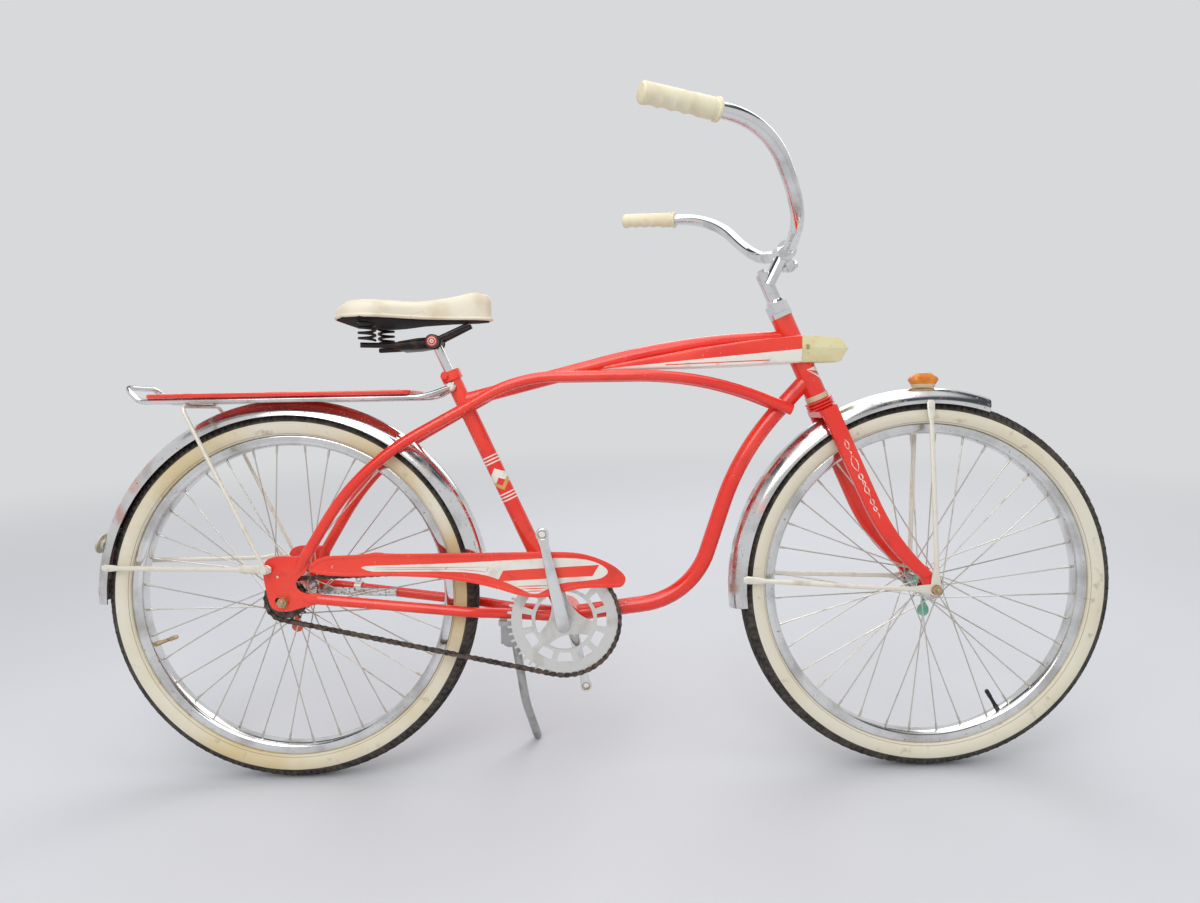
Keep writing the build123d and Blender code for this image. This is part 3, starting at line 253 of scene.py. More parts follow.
frame_paint = red_enamel("frame_paint")
paint_nodes(frame_paint, "top_tube", "down_tube", "side_tube_left", "side_tube_right", "chainstay_left",
            "chainstay_right", "bottom_bracket", "seat_clamp")
paint_nodes(red_enamel("seat_tube_paint", seat_tube_bands), "seat_tube")
paint_nodes(red_enamel("head_tube_paint", head_tube_barbs), "head_tube")

# Headset: pressed steel cups, the upper one and its locknut chromed, the lower one dulled to a creamy yellow.
# They hold the fork's steerer in the head tube.
head_tube_middle = 400.0
chrome_pale, chrome_dull, chrome_rust = ink(228, 228, 228), ink(192, 191, 188), ink(110, 72, 48)


def chrome(name, marks=None, pitted=0.70):
    """Old chrome plate: bright, lightly hazed, and pitted with rust where the noise passes a level."""
    finish, place = new_finish(name, {"IOR": 2.2})
    haze = patches(place, 16.0, 0.40, 0.72)
    pits = patches(place, 210.0, pitted, pitted + 0.06, 3.0)
    colour = mixed(haze, chrome_pale, chrome_dull)
    metal = 1.0 - pits * 0.7
    rough = 0.09 + haze * 0.13 + pits * 0.4
    if marks:
        for mask, paint in marks(place):
            colour = mixed(mask, colour, paint)
            metal = metal * (1.0 - mask * 0.85)
            rough = rough + mask * 0.35
    return lay_on(finish, {
        "Base Color": mixed(pits * 0.8, colour, chrome_rust),
        "Metallic": metal,
        "Roughness": rough,
        "Normal": raised(haze - pits, 0.05, 0.0004),
    })


def yellowed_lower_cup(place):
    """The lower cup, which has lost its shine."""
    yield along(place, on_steerer(head_tube_middle), steer_up) < 0.0, ink(206, 186, 150)


bright_chrome = chrome("bright_chrome")
paint_nodes(chrome("headset_chrome", yellowed_lower_cup), "headset_cups")
paint_nodes(bright_chrome, "headset_locknut")

# Fork: two flattened blades brazed under a ringed crown, in the frame's red.
# White scrolls are brushed down the outer face of each blade.
crown_high, crown_ring_pitch, crown_ring_count = 346.1, 5.57, 3
crown_ring = [(20.0, 0.6), (23.8, 0.6), (25.0, 1.6), (25.0, 3.7), (23.8, 4.7), (20.0, 4.7), (20.0, 0.6)]
blade_top_y, blade_foot_y, blade_end_height, blade_half_thickness = 43.0, 52.5, 12.0, 8.0
splay = (blade_foot_y - blade_top_y) / (crown_high - blade_end_height)
scroll_steps, scroll_lift = 14, 0.25
scroll_strokes = [
    # height of its start and end up the blade, how far the stroke swings ahead, its width
    (287.0, 267.0, 4.0, 1.5), (283.0, 267.0, -2.5, 1.5), (264.0, 258.0, 2.0, 1.8),
    (256.0, 226.0, 5.0, 1.4), (256.0, 226.0, -5.0, 1.4), (223.0, 209.0, 3.2, 2.0), (223.0, 209.0, -3.2, 2.0),
    (210.0, 197.0, 2.6, 1.5), (210.0, 199.0, -1.0, 1.3), (199.0, 183.0, 3.4, 1.5), (199.0, 183.0, -3.4, 1.5),
    (184.0, 175.0, 1.0, 1.8), (175.0, 162.0, 3.0, 1.4), (175.0, 162.0, -3.0, 1.4),
    (161.0, 150.0, 2.4, 2.0), (161.0, 150.0, -2.4, 2.0), (150.0, 137.0, 1.6, 1.4),
]
millimetres = Matrix.Scale(0.001, 4)
merge_distance = 0.0005


def to_mesh(shape, smooth_angle=40.0):
    """A plain mesh from a bmesh: doubles merged, faces outwards, edges sharper than the angle kept crisp."""
    bmesh.ops.remove_doubles(shape, verts=shape.verts, dist=merge_distance)
    bmesh.ops.recalc_face_normals(shape, faces=shape.faces)
    mesh = bpy.data.meshes.new("shape")
    shape.to_mesh(mesh)
    shape.free()
    mesh.shade_smooth()
    mesh.set_sharp_from_angle(angle=math.radians(smooth_angle))
    return mesh


def fitted(name, mesh, body, finish, instead_of=None):
    """An upright mesh set on the parked bicycle, as a piece of one body that may stand for a CAD node."""
    mesh.name = name
    mesh.transform(parked @ millimetres)
    mesh.materials.clear()
    mesh.materials.append(finish)
    piece = bpy.data.objects.new(name, mesh)
    bpy.context.scene.collection.objects.link(piece)
    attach(piece, body)
    if instead_of:
        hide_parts(instead_of)
    return piece


def joined(*meshes):
    """Several meshes as one."""
    shape = bmesh.new()
    for mesh in meshes:
        shape.from_mesh(mesh)
    whole = bpy.data.meshes.new("whole")
    shape.to_mesh(whole)
    shape.free()
    return whole


def skin(shape, rows, rows_close, points_close):
    """Faces between neighbouring rows of corners. Rows, and the points of each row, may close into a ring."""
    for first, second in zip(rows, rows[1:] + rows[:1] if rows_close else rows[1:]):
        for index in range(len(first) if points_close else len(first) - 1):
            following = (index + 1) % len(first)
            shape.faces.new((first[index], second[index], second[following], first[following]))


def turned_on(outline, foot, direction, steps=20):
    """A part turned on a lathe from (radius, height) points, stood at a foot along a direction."""
    lean = Vector(direction).normalized().to_track_quat("Z", "Y").to_matrix()
    shape = bmesh.new()
    rows = []
    for step in range(steps):
        angle = 2 * math.pi * step / steps
        corners = [(r * math.cos(angle), r * math.sin(angle), height) for r, height in outline]
        rows.append([shape.verts.new(Vector(foot) + lean @ Vector(corner)) for corner in corners])
    skin(shape, rows, True, False)
    bmesh.ops.remove_doubles(shape, verts=shape.verts, dist=merge_distance)
    bmesh.ops.dissolve_degenerate(shape, edges=shape.edges, dist=merge_distance)
    return to_mesh(shape)


def add_ribbon(shape, points, face, width, bluntness=0.08):
    """A flat painted line along points, lying on a face whose normal is given, narrowed to both ends."""
    rows = []
    for index, point in enumerate(points):
        ahead = points[min(index + 1, len(points) - 1)] - points[max(index - 1, 0)]
        share = bluntness + (1 - 2 * bluntness) * index / (len(points) - 1)
        half = face.cross(ahead).normalized() * (width / 2 * math.sin(math.pi * share))
        rows.append([shape.verts.new(point - half), shape.verts.new(point + half)])
    skin(shape, rows, False, False)


def worn_finish(name, plain, blotches, share, fresh, worn, roughness, metal=None, coat=None, dulled=None,
                relief=None):
    """A finish that goes from a fresh colour to a worn one by a share, in blotches of patches().

    Roughness, metal and coat are a fresh value and what wear adds to it. Roughness may have blotches of its
    own, dulled, and relief(place) gives the normal."""
    finish, place = new_finish(name, plain)
    wear = patches(place, *blotches)
    dullness = patches(place, *dulled) if dulled else wear
    links = {
        "Base Color": mixed(wear * share, fresh, worn),
        "Roughness": roughness[0] + dullness * roughness[1],
    }
    for socket, value in (("Metallic", metal), ("Coat Weight", coat)):
        if value:
            links[socket] = value[0] + wear * value[1]
    if relief:
        links["Normal"] = relief(place)
    return lay_on(finish, links)


fork_paint = red_enamel("fork_paint")
paint_nodes(fork_paint, "fork")
crown_rings = [turned_on(crown_ring, on_steerer(crown_high + crown_ring_pitch * index), steer_up, 40)
               for index in range(crown_ring_count)]
fitted("crown_rings", joined(*crown_rings), "steering", fork_paint)
scroll = bmesh.new()
for sign in (1, -1):
    outward = (leftward * sign + steer_up * splay).normalized()
    for start, end, swing, width in scroll_strokes:
        points = []
        for step in range(scroll_steps + 1):
            share = step / scroll_steps
            height = start + (end - start) * share
            y = blade_foot_y + splay * (blade_end_height - height) + blade_half_thickness + scroll_lift
            points.append(on_steerer(height, swing * math.sin(math.pi * share), sign * y))
        add_ribbon(scroll, points, outward, width)
brushed_white = worn_finish(
    "brushed_white", {"IOR": 1.45}, (160.0, 0.52, 0.66), 1.0, transfer_white, red_faded, (0.4, 0.2),
    dulled=(60.0, 0.4, 0.7))
fitted("fork_scroll", to_mesh(scroll), "steering", brushed_white)

# Tyres: balloon tyres of black rubber moulded with a rib and lug tread, with a cream whitewall on each side.
# The whitewalls have yellowed and the tread is grey with dust. Each is held by its beads in the rim.
tyre_radius, tyre_section = 330.0, 26.0
tyre_centre = tyre_radius - tyre_section
bead_radius, bead_half_width = 280.4, 12.8
shoulder_foot, shoulder_angle = 286.9, 131.4
whitewall_radius, moulded_line = 311.0, (289.4, 290.4)
tread_half_angle, tread_sink, rib_sink = 64.0, 2.4, 0.35
tread_ribs = [(0.0, 5.0), (38.0, 45.0)]
section_steps, ring_steps = 64, 144
lug_rows = [
    # angle round the section, lugs in the row, turn of each lug, length, width
    (56.0, 168, 0.0, 6.6, 11.0),
    (21.0, 112, 34.0, 14.0, 4.4),
    (-21.0, 112, -34.0, 14.0, 4.4),
    (-56.0, 168, 0.0, 6.6, 11.0),
]
lug_height, lug_sink = 2.6, 0.75
wheelbase = drawn("front_wheel_spin")[0].x
wheels = {"front": wheelbase, "rear": 0.0}
yellowing = {"front": 0.25, "rear": 0.85}


def round_axle(x, degrees, radius, y=0.0):
    """A point round an axle at x, by its angle, its distance from the axle and its side."""
    return forward * x + pointing(degrees) * radius + leftward * y


def ring(profile, x, steps, start=0.0, sweep=360.0, smooth_angle=40.0):
    """A ring, or a stretch of one, turned round an axle from a closed outline of (radius, y) points."""
    shape = bmesh.new()
    whole = sweep >= 360.0
    rows = []
    for step in range(steps if whole else steps + 1):
        angle = start + sweep * step / steps
        rows.append([shape.verts.new(round_axle(x, angle, radius, y)) for radius, y in profile])
    skin(shape, rows, whole, True)
    if not whole:
        for end in (rows[0], rows[-1]):
            bmesh.ops.triangulate(shape, faces=[shape.faces.new(end)])
    return to_mesh(shape, smooth_angle)


def new_tree(name, *inputs, kind="NodeSocketFloat"):
    """An empty geometry tree with named inputs of one kind, and the wires of all that comes in."""
    tree = bpy.data.node_groups.new(name, "GeometryNodeTree")
    tree.interface.new_socket("Geometry", in_out="INPUT", socket_type="NodeSocketGeometry")
    for entry in inputs:
        tree.interface.new_socket(entry, in_out="INPUT", socket_type=kind)
    tree.interface.new_socket("Geometry", in_out="OUTPUT", socket_type="NodeSocketGeometry")
    inlet = tree.nodes.new("NodeGroupInput")
    return tree, {output.name: Wire(output) for output in inlet.outputs if output.name}


def end_tree(tree, made, finish):
    """Ends a geometry tree in real, coloured geometry."""
    real = made.node("GeometryNodeRealizeInstances", {}, {"Geometry": made})
    coloured = real.node("GeometryNodeSetMaterial", {}, {"Geometry": real, "Material": finish})
    tree.links.new(coloured.socket, tree.nodes.new("NodeGroupOutput").inputs[0])


def grown(seed_mesh, tree, inputs):
    """The plain mesh that a geometry tree makes of a seed mesh."""
    carrier = bpy.data.objects.new("carrier", seed_mesh)
    bpy.context.scene.collection.objects.link(carrier)
    growth = carrier.modifiers.new("growth", "NODES")
    growth.node_group = tree
    for item in tree.interface.items_tree:
        if item.in_out == "INPUT" and item.name in inputs:
            growth[item.identifier] = inputs[item.name]
    depsgraph = bpy.context.evaluated_depsgraph_get()
    mesh = bpy.data.meshes.new_from_object(carrier.evaluated_get(depsgraph), depsgraph=depsgraph)
    carrier.modifiers.remove(growth)
    bpy.data.objects.remove(carrier)
    return mesh


def seeds(places):
    """A mesh of loose points, each with the turn of what will stand on it."""
    mesh = bpy.data.meshes.new("seeds")
    mesh.from_pydata([place for place, turn in places], [], [])
    turns = mesh.attributes.new("turn", "FLOAT_VECTOR", "POINT")
    for index, (place, turn) in enumerate(places):
        turns.data[index].vector = turn
    return mesh


def stood_on_points(points, shape):
    """One shape stood on every seed point, turned as the seed says."""
    turn = points.node("GeometryNodeInputNamedAttribute", {"data_type": "FLOAT_VECTOR"}, {"Name": "turn"})
    return points.node("GeometryNodeInstanceOnPoints", {}, {
        "Points": points, "Instance": shape, "Rotation": turn})


def from_axle(place, centre):
    """How far each point lies from a line across the bicycle, in millimetres."""
    out_x, out_z = along(place, centre, forward), along(place, centre, upward)
    return out_x.maths("SQRT", out_x * out_x + out_z * out_z)


def wheel_rubber(name, x, yellowed):
    """Black tread and cream whitewall in one rubber, told apart by the distance from the axle."""
    finish, place = new_finish(name, {"IOR": 1.45})
    radius = from_axle(place, (x, 0, 0))
    sidewall = (radius < whitewall_radius) * (abs(along(place, (0, 0, 0), leftward)) > bead_half_width)
    stain = patches(place, 5.0, 0.36, 0.66)
    cream = mixed(stain * yellowed, ink(224, 218, 200), ink(206, 184, 132))
    cream = mixed(within(radius, *moulded_line) * 0.6, cream, ink(120, 108, 86))
    cream = mixed(patches(place, 46.0, 0.60, 0.78) * 0.5, cream, ink(132, 112, 84))
    black = mixed(patches(place, 44.0, 0.30, 0.72), ink(44, 42, 40), ink(82, 75, 66))
    return lay_on(finish, {
        "Base Color": mixed(sidewall, black, cream),
        "Roughness": 0.74 - sidewall * 0.18 + stain * 0.08,
        "Normal": raised(grain(place, 900.0, 2.0), 0.12, 0.0004),
    })


tyre_outline = [(bead_radius, -bead_half_width), (shoulder_foot, -bead_half_width)]
for step in range(section_steps + 1):
    angle = shoulder_angle * (2 * step / section_steps - 1)
    in_rib = any(low <= abs(angle) <= high for low, high in tread_ribs)
    in_tread = abs(angle) < tread_half_angle and not in_rib
    reach = pointing(angle) * (tyre_section - (tread_sink if in_tread else rib_sink))
    tyre_outline.append((tyre_centre + reach.x, reach.z))
tyre_outline += [(shoulder_foot, bead_half_width), (bead_radius, bead_half_width)]
for wheel, x in wheels.items():
    rubber = wheel_rubber(f"{wheel}_tyre_rubber", x, yellowing[wheel])
    tread_tree, tread_in = new_tree(f"{wheel}_tread", "Lug Length", "Lug Width", "Lug Height")
    lug_size = tread_in["Geometry"].node("ShaderNodeCombineXYZ", {}, {
        0: tread_in["Lug Height"], 1: tread_in["Lug Width"], 2: tread_in["Lug Length"]})
    lug = lug_size.node("GeometryNodeMeshCube", {}, {"Size": lug_size})
    end_tree(tread_tree, stood_on_points(tread_in["Geometry"], lug), rubber)
    tyre_pieces = [ring(tyre_outline, x, ring_steps, smooth_angle=60.0)]
    for section_angle, count, slant, length, width in lug_rows:
        reach = pointing(section_angle) * (tyre_section - lug_sink - lug_height / 2)
        stagger = 0.5 if section_angle < 0 else 0.0
        places = []
        for lug_index in range(count):
            round_angle = 360 * (lug_index + stagger) / count
            spot = round_axle(x, round_angle, tyre_centre + reach.x, reach.z)
            turn = (Matrix.Rotation(math.radians(-round_angle), 3, "Y")
                    @ Matrix.Rotation(math.radians(section_angle), 3, "Z")
                    @ Matrix.Rotation(math.radians(slant), 3, "X"))
            places.append((spot, turn.to_euler()))
        tyre_pieces.append(grown(seeds(places), tread_tree, {
            "Lug Length": length, "Lug Width": width, "Lug Height": lug_height}))
    fitted(f"{wheel}_tyre_moulded", joined(*tyre_pieces), f"{wheel}_wheel", rubber, f"{wheel}_tyre")

# Rims: rolled steel, drop-centred and chromed, with the spokes' nipples through the middle of the well.
# A valve stands through each, of black rubber in front and of bare brass behind.
well_radius = 268.0
rim_half = [
    # radius, y, from the tyre's bed over the lip and down beside the well
    (279.9, 13.3), (285.6, 13.4), (286.4, 14.2), (286.0, 15.8), (284.0, 16.5), (277.0, 16.3), (273.5, 15.6),
    (270.6, 13.4), (268.8, 10.0), (268.1, 5.0),
]
rim_outline = rim_half + [(well_radius, 0.0)] + [(radius, -y) for radius, y in reversed(rim_half)]
rim_chrome = chrome("rim_chrome", pitted=0.66)
black_rubber = worn_finish(
    "black_rubber", {"IOR": 1.45}, (70.0, 0.4, 0.7), 1.0, ink(30, 30, 31), ink(78, 74, 68), (0.6, 0.2),
    dulled=(90.0, 0.4, 0.7))
brassy_nut = worn_finish(
    "brassy_nut", {"IOR": 2.0}, (130.0, 0.48, 0.66), 0.8, ink(190, 168, 128), ink(122, 82, 52), (0.34, 0.3),
    (0.85, -0.5))
valve_outline = [
    # radius, height in from the rim
    (0.0, 0.0), (4.4, 0.0), (4.4, 6.0), (3.4, 8.0), (3.2, 24.0), (3.9, 25.0), (3.9, 37.0), (3.0, 39.0),
    (0.0, 39.0),
]
valves = {
    # direction from the axle to the valve, its finish
    "front": (Vector((131.0, 0, -226.0)), black_rubber),
    "rear": (Vector((-244.0, 0, -82.0)), brassy_nut),
}
valve_sink = 0.1
for wheel, x in wheels.items():
    fitted(f"{wheel}_rim_rolled", ring(rim_outline, x, ring_steps), f"{wheel}_wheel", rim_chrome,
           f"{wheel}_rim")
    outward, valve_finish = valves[wheel][0].normalized(), valves[wheel][1]
    foot = forward * x + outward * (well_radius - valve_sink)
    fitted(f"{wheel}_valve", turned_on(valve_outline, foot, -outward), f"{wheel}_wheel", valve_finish)

# Spokes: thirty-six plain steel wires to a wheel, laced three-cross from the hub's two flanges to the rim.
# Each hooks through its flange by a headed elbow and is drawn up by a nipple at the rim.
spokes_per_flange, spoke_crossing, spoke_sides = 18, 60.0, 8
spoke_radius, spoke_head_radius = 1.15, 2.185
nipple_radius, nipple_length, nipple_y, nipple_sink = 2.0, 13.0, 4.0, 0.3
elbow_half, hole_inset, head_share, neck_share = 3.0, 3.0, 0.25, 0.3
nipple_mouth, nipple_shank = 0.8, 0.6
hub_flanges = {
    # y and radius of the two flanges
    "front": (31.0, 24.0),
    "rear": (29.0, 33.0),
}
spoke_steel = worn_finish(
    "spoke_steel", {"IOR": 2.0}, (24.0, 0.58, 0.76), 0.7, ink(206, 202, 192), ink(142, 112, 84), (0.28, 0.35),
    (0.9, -0.5))
wire_tree, wire_in = new_tree("drawn_wire", "Gauge")
gauge = wire_in["Gauge"].node("GeometryNodeInputNamedAttribute", {"data_type": "FLOAT"}, {"Name": "gauge"})
wire_line = gauge.node("GeometryNodeMeshToCurve", {}, {"Mesh": wire_in["Geometry"]})
wire_round = wire_line.node("GeometryNodeCurvePrimitiveCircle", {}, {
    "Resolution": spoke_sides, "Radius": 1.0})
wire_body = wire_round.node("GeometryNodeCurveToMesh", {}, {
    "Curve": wire_line, "Profile Curve": wire_round, "Scale": gauge * wire_in["Gauge"], "Fill Caps": True})
end_tree(wire_tree, wire_body, spoke_steel)


def wires(lines):
    """Round wires grown along lines of (point, radius) pairs."""
    mesh = bpy.data.meshes.new("wire_lines")
    points, edges, radii = [], [], []
    for line in lines:
        for index, (point, radius) in enumerate(line):
            if index:
                edges.append((len(points) - 1, len(points)))
            points.append(point)
            radii.append(radius)
    mesh.from_pydata(points, edges, [])
    mesh.attributes.new("gauge", "FLOAT", "POINT").data.foreach_set("value", radii)
    wire_mesh = grown(mesh, wire_tree, {"Gauge": 1.0})
    wire_mesh.shade_smooth()
    wire_mesh.set_sharp_from_angle(angle=math.radians(50.0))
    return wire_mesh


for wheel, x in wheels.items():
    flange_y, flange_radius = hub_flanges[wheel]
    spacing = 360 / spokes_per_flange
    laced = []
    for side in (-1, 1):
        for hole in range(spokes_per_flange):
            leading = 1 if hole % 2 else -1
            hub_angle = hole * spacing + side * spacing / 4
            rim_angle = hub_angle + leading * spoke_crossing
            in_flange = round_axle(x, hub_angle, flange_radius - hole_inset, side * flange_y)
            elbow = leftward * (side * leading * elbow_half)
            back, bend = in_flange - elbow, in_flange + elbow
            nipple = round_axle(x, rim_angle, well_radius - nipple_sink, side * nipple_y)
            run = (nipple - bend).normalized() * nipple_length
            laced.append([(back, spoke_head_radius), (back.lerp(bend, head_share), spoke_head_radius),
                          (back.lerp(bend, neck_share), spoke_radius), (bend, spoke_radius),
                          (nipple, spoke_radius)])
            laced.append([(nipple - run, nipple_mouth * nipple_radius),
                          (nipple - run * nipple_shank, nipple_radius), (nipple, nipple_radius)])
    fitted(f"{wheel}_spokes_laced", wires(laced), f"{wheel}_wheel", spoke_steel,
           f"{wheel}_spokes")

# Hubs and axles: turned steel hub shells, the front one slim and the rear one a stout coaster brake hub.
# Each turns on a fixed threaded axle, held in its slots by cones, washers and six-sided nuts.
axles = {
    # body, axle radius, cone's inner and outer y, nut's inner y
    "front": ("steering", 4.0, 42.3, 49.7, 58.9),
    "rear": ("frame", 4.75, 49.0, 54.7, 60.3),
}
cone_step, rod_past_nut, rod_chamfer = 3.4, 12.6, 1.0
axle_nut = {"Across": 8.9, "Height": 8.6, "Washer": 8.9}
washer_depth, washer_lift = 0.2, -0.42  # shares of a head's height
nut_tree, nut_in = new_tree("six_sided_heads", "Across", "Height", "Washer")
hexagon = nut_in["Across"].node("GeometryNodeMeshCylinder", {}, {
    "Vertices": 6, "Radius": nut_in["Across"], "Depth": nut_in["Height"]})
washer = nut_in["Washer"].node("GeometryNodeMeshCylinder", {}, {
    "Vertices": 20, "Radius": nut_in["Washer"], "Depth": nut_in["Height"] * washer_depth})
lift = washer.node("ShaderNodeCombineXYZ", {}, {2: nut_in["Height"] * washer_lift})
washer = washer.node("GeometryNodeTransform", {}, {"Geometry": washer, "Translation": lift})
headed = hexagon.node("GeometryNodeJoinGeometry", {}, {"Geometry": [hexagon, washer]})
end_tree(nut_tree, stood_on_points(nut_in["Geometry"], headed), brassy_nut)


def heads(places, sizes):
    """Six-sided heads on washers, stood at (point, direction) places."""
    spots = []
    for point, direction in places:
        turn = direction.to_track_quat("Z", "Y").to_euler()
        spots.append((point + direction.normalized() * (sizes["Height"] / 2), turn))
    return grown(seeds(spots), nut_tree, sizes)


def both_sides(x, y, z):
    """A point on each side of the bicycle, and the direction outwards from it."""
    return [(Vector((x, side * y, z)), leftward * side) for side in (1, -1)]


def turned_pair(outline, places, steps):
    """The same turned part at each of several (point, direction) places."""
    return joined(*[turned_on(outline, point, direction, steps) for point, direction in places])


paint_nodes(chrome("hub_steel", pitted=0.60), "front_hub", "rear_hub")
for wheel, (body, radius, cone_low, cone_high, nut_y) in axles.items():
    rod_end = nut_y + rod_past_nut
    half_axle = [(0.0, 0.0), (radius, 0.0), (radius, cone_low), (radius + cone_step, cone_low + rod_chamfer),
                 (radius + cone_step, cone_high), (radius, cone_high), (radius, rod_end - rod_chamfer),
                 (radius - rod_chamfer, rod_end), (0.0, rod_end)]
    rods = turned_pair(half_axle, both_sides(wheels[wheel], 0.0, 0.0), 24)
    nuts = heads(both_sides(wheels[wheel], nut_y, 0.0), axle_nut)
    fitted(f"{wheel}_axle_set", joined(rods, nuts), body, brassy_nut, f"{wheel}_axle")

# Hub straps: a coloured leather band rides round each hub barrel and wipes it as the wheel turns.
# A leaf cut in one with the band hangs below it, sea green in front and orange behind, both faded.
strap_half_width, strap_thickness = 7.0, 1.6
leaf_outline = [(-2.6, 0.0), (-2.6, -19.0), (-10.5, -31.0), (-9.5, -41.0), (1.0, -47.0), (10.0, -41.0),
                (10.5, -30.0), (2.6, -19.0), (2.6, 0.0)]
straps = [
    # name, body, x, barrel radius, colour
    ("front_hub_strap", "steering", wheelbase, 14.6, ink(64, 178, 150)),
    ("rear_hub_strap", "frame", 0.0, 22.6, ink(226, 92, 56)),
]


def facing(origin, across=forward, up=upward, out=leftward):
    """Where a flat part lies: its origin, the two directions of its outline, and the way of its thickness."""
    placed = Matrix((across, up, out)).transposed().to_4x4()
    placed.translation = origin
    return placed


def rounded_edges(shape, sharper_than, radius, steps):
    """Rounds the edges of a closed shape that are sharper than an angle."""
    limit = math.radians(sharper_than)
    sharp = [edge for edge in shape.edges if len(edge.link_faces) == 2 and edge.calc_face_angle() > limit]
    bmesh.ops.bevel(shape, geom=sharp, offset=radius, segments=steps, profile=0.5, affect="EDGES",
                    clamp_overlap=True)


def plate(outline, holes, placed, thickness, edge=0.0, edge_steps=2):
    """A flat part cut to an outline with holes, its edges rounded, and set where facing() says."""
    shape = bmesh.new()
    for loop in (outline, *holes):
        corners = [shape.verts.new((u, v, 0)) for u, v in loop]
        for first, second in zip(corners, corners[1:] + corners[:1]):
            shape.edges.new((first, second))
    bmesh.ops.triangle_fill(shape, use_beauty=True, edges=shape.edges)
    bmesh.ops.dissolve_limit(shape, angle_limit=0.01, verts=shape.verts, edges=shape.edges)
    lifted = bmesh.ops.extrude_face_region(shape, geom=shape.faces[:])
    for item in lifted["geom"]:
        if isinstance(item, bmesh.types.BMVert):
            item.co.z = thickness
    bmesh.ops.recalc_face_normals(shape, faces=shape.faces)
    if edge:
        rounded_edges(shape, 50.0, edge, edge_steps)
    shape.transform(placed)
    return to_mesh(shape)


def eased(outline, rounds):
    """An outline with its corners cut again and again until round. A doubled corner stays crisper."""
    for _ in range(rounds):
        cut = []
        for first, second in zip(outline, outline[1:] + outline[:1]):
            cut += [Vector(first).lerp(Vector(second), share) for share in (0.25, 0.75)]
        outline = cut
    return [point for index, point in enumerate(outline) if (point - outline[index - 1]).length > 0.01]


for name, body, x, barrel, colour in straps:
    band_outline = [(barrel, -strap_half_width), (barrel + strap_thickness, -strap_half_width),
                    (barrel + strap_thickness, strap_half_width), (barrel, strap_half_width)]
    leaf_place = facing(Vector((x, -strap_thickness / 2, -barrel)))
    leaf = plate(eased(leaf_outline, 2), [], leaf_place, strap_thickness)
    strap_finish = worn_finish(
        f"{name}_finish", {"IOR": 1.45}, (60.0, 0.4, 0.7), 0.6, colour, ink(196, 190, 176), (0.5, 0.2),
        dulled=(120.0, 0.4, 0.7))
    fitted(name, joined(ring(band_outline, x, 40), leaf), body, strap_finish)

# Crank set: a pressed steel chainring with twelve windows, driven by two forged cranks on one axle.
# The cranks taper to an eye tapped for a pedal, whose bare thread shows brassy.
crank_length, crank_angle = 160.0, 102.0
crank_inner_y, crank_thickness, crank_edge = 68.0, 13.0, 3.2
boss_radius, eye_radius, pedal_hole_radius = 12.5, 11.0, 6.4
shoulder_reach, shoulder_half, neck_reach, neck_half = 30.0, 11.2, 140.0, 7.4
thread = [(6.2, -0.2), (6.2, 12.8), (7.2, 13.2), (7.2, -0.2), (6.2, -0.2)]
lock_ring = [(12.3, 34.3), (25.0, 34.3), (25.0, 36.4), (22.0, 37.6), (12.3, 37.6), (12.3, 34.3)]


def pressed_mottle(place):
    """The faint mottle of pressed steel."""
    return raised(patches(place, 300.0, 0.4, 0.6), 0.06, 0.0004)


def arc(centre, radius, start, end, steps=12):
    """Points round an arc, from one angle to another in degrees."""
    turns = [pointing(start + (end - start) * step / steps) * radius for step in range(steps + 1)]
    return [(centre[0] + turn.x, centre[1] + turn.z) for turn in turns]


ring_steel = worn_finish(
    "ring_steel", {"IOR": 2.0}, (30.0, 0.48, 0.74), 0.4, ink(216, 215, 211), ink(140, 126, 108), (0.36, 0.24),
    (0.72, -0.4), relief=pressed_mottle)
paint_nodes(ring_steel, "chainring", "crank_axle")
crank_outline = (arc((0, 0), boss_radius, 100, 260)
                 + [(shoulder_reach, -shoulder_half), (neck_reach, -neck_half)]
                 + arc((crank_length, 0), eye_radius, -120, 120)
                 + [(neck_reach, neck_half), (shoulder_reach, shoulder_half)])
pedal_hole = arc((crank_length, 0), pedal_hole_radius, 0, 345, 23)
for side, sign, angle in (("right", -1, crank_angle), ("left", 1, crank_angle - 180)):
    outward = leftward * sign
    inner_face = bracket + outward * crank_inner_y
    crank_place = facing(inner_face, pointing(angle), pointing(angle + 90), outward)
    arm = plate(crank_outline, [pedal_hole], crank_place, crank_thickness, crank_edge, 3)
    fitted(f"crank_arm_{side}_forged", arm, "crank", bright_chrome, f"crank_arm_{side}")
    pedal_thread = turned_on(thread, inner_face + pointing(angle) * crank_length, outward, 24)
    fitted(f"pedal_thread_{side}", pedal_thread, "crank", brassy_nut)
lock_rings = turned_pair(lock_ring, both_sides(bracket.x, 0.0, bracket.z), 32)
fitted("bracket_lock_rings", lock_rings, "frame", brassy_nut)

# Chain: a half-inch roller chain of a hundred and ten links, rusted brown, round the chainring and the cog.
# Outer plates riveted on pins alternate with inner plates on rollers.
chain_pitch, chain_line = 12.7, 43.0
ring_teeth, cog_teeth = 48, 18
ring_wrap, cog_wrap, run_links = 26, 8, 38
plate_end, plate_waist, plate_thickness = 4.0, 2.9, 1.1
link_kinds = [
    # first link of the kind, y of its plates, radius and half length of the pins or rollers
    (0, 3.6, 1.9, 5.0),
    (1, 2.3, 3.7, 2.0),
]
half_pitch = chain_pitch / 2
plate_outline = (arc((half_pitch, 0), plate_end, -110, 110, 5) + [(0, plate_waist)]
                 + arc((-half_pitch, 0), plate_end, 70, 290, 5) + [(0, -plate_waist)])
chain_back = Vector((-bracket.x, 0, -bracket.z)).normalized()
chain_over = leftward.cross(chain_back)


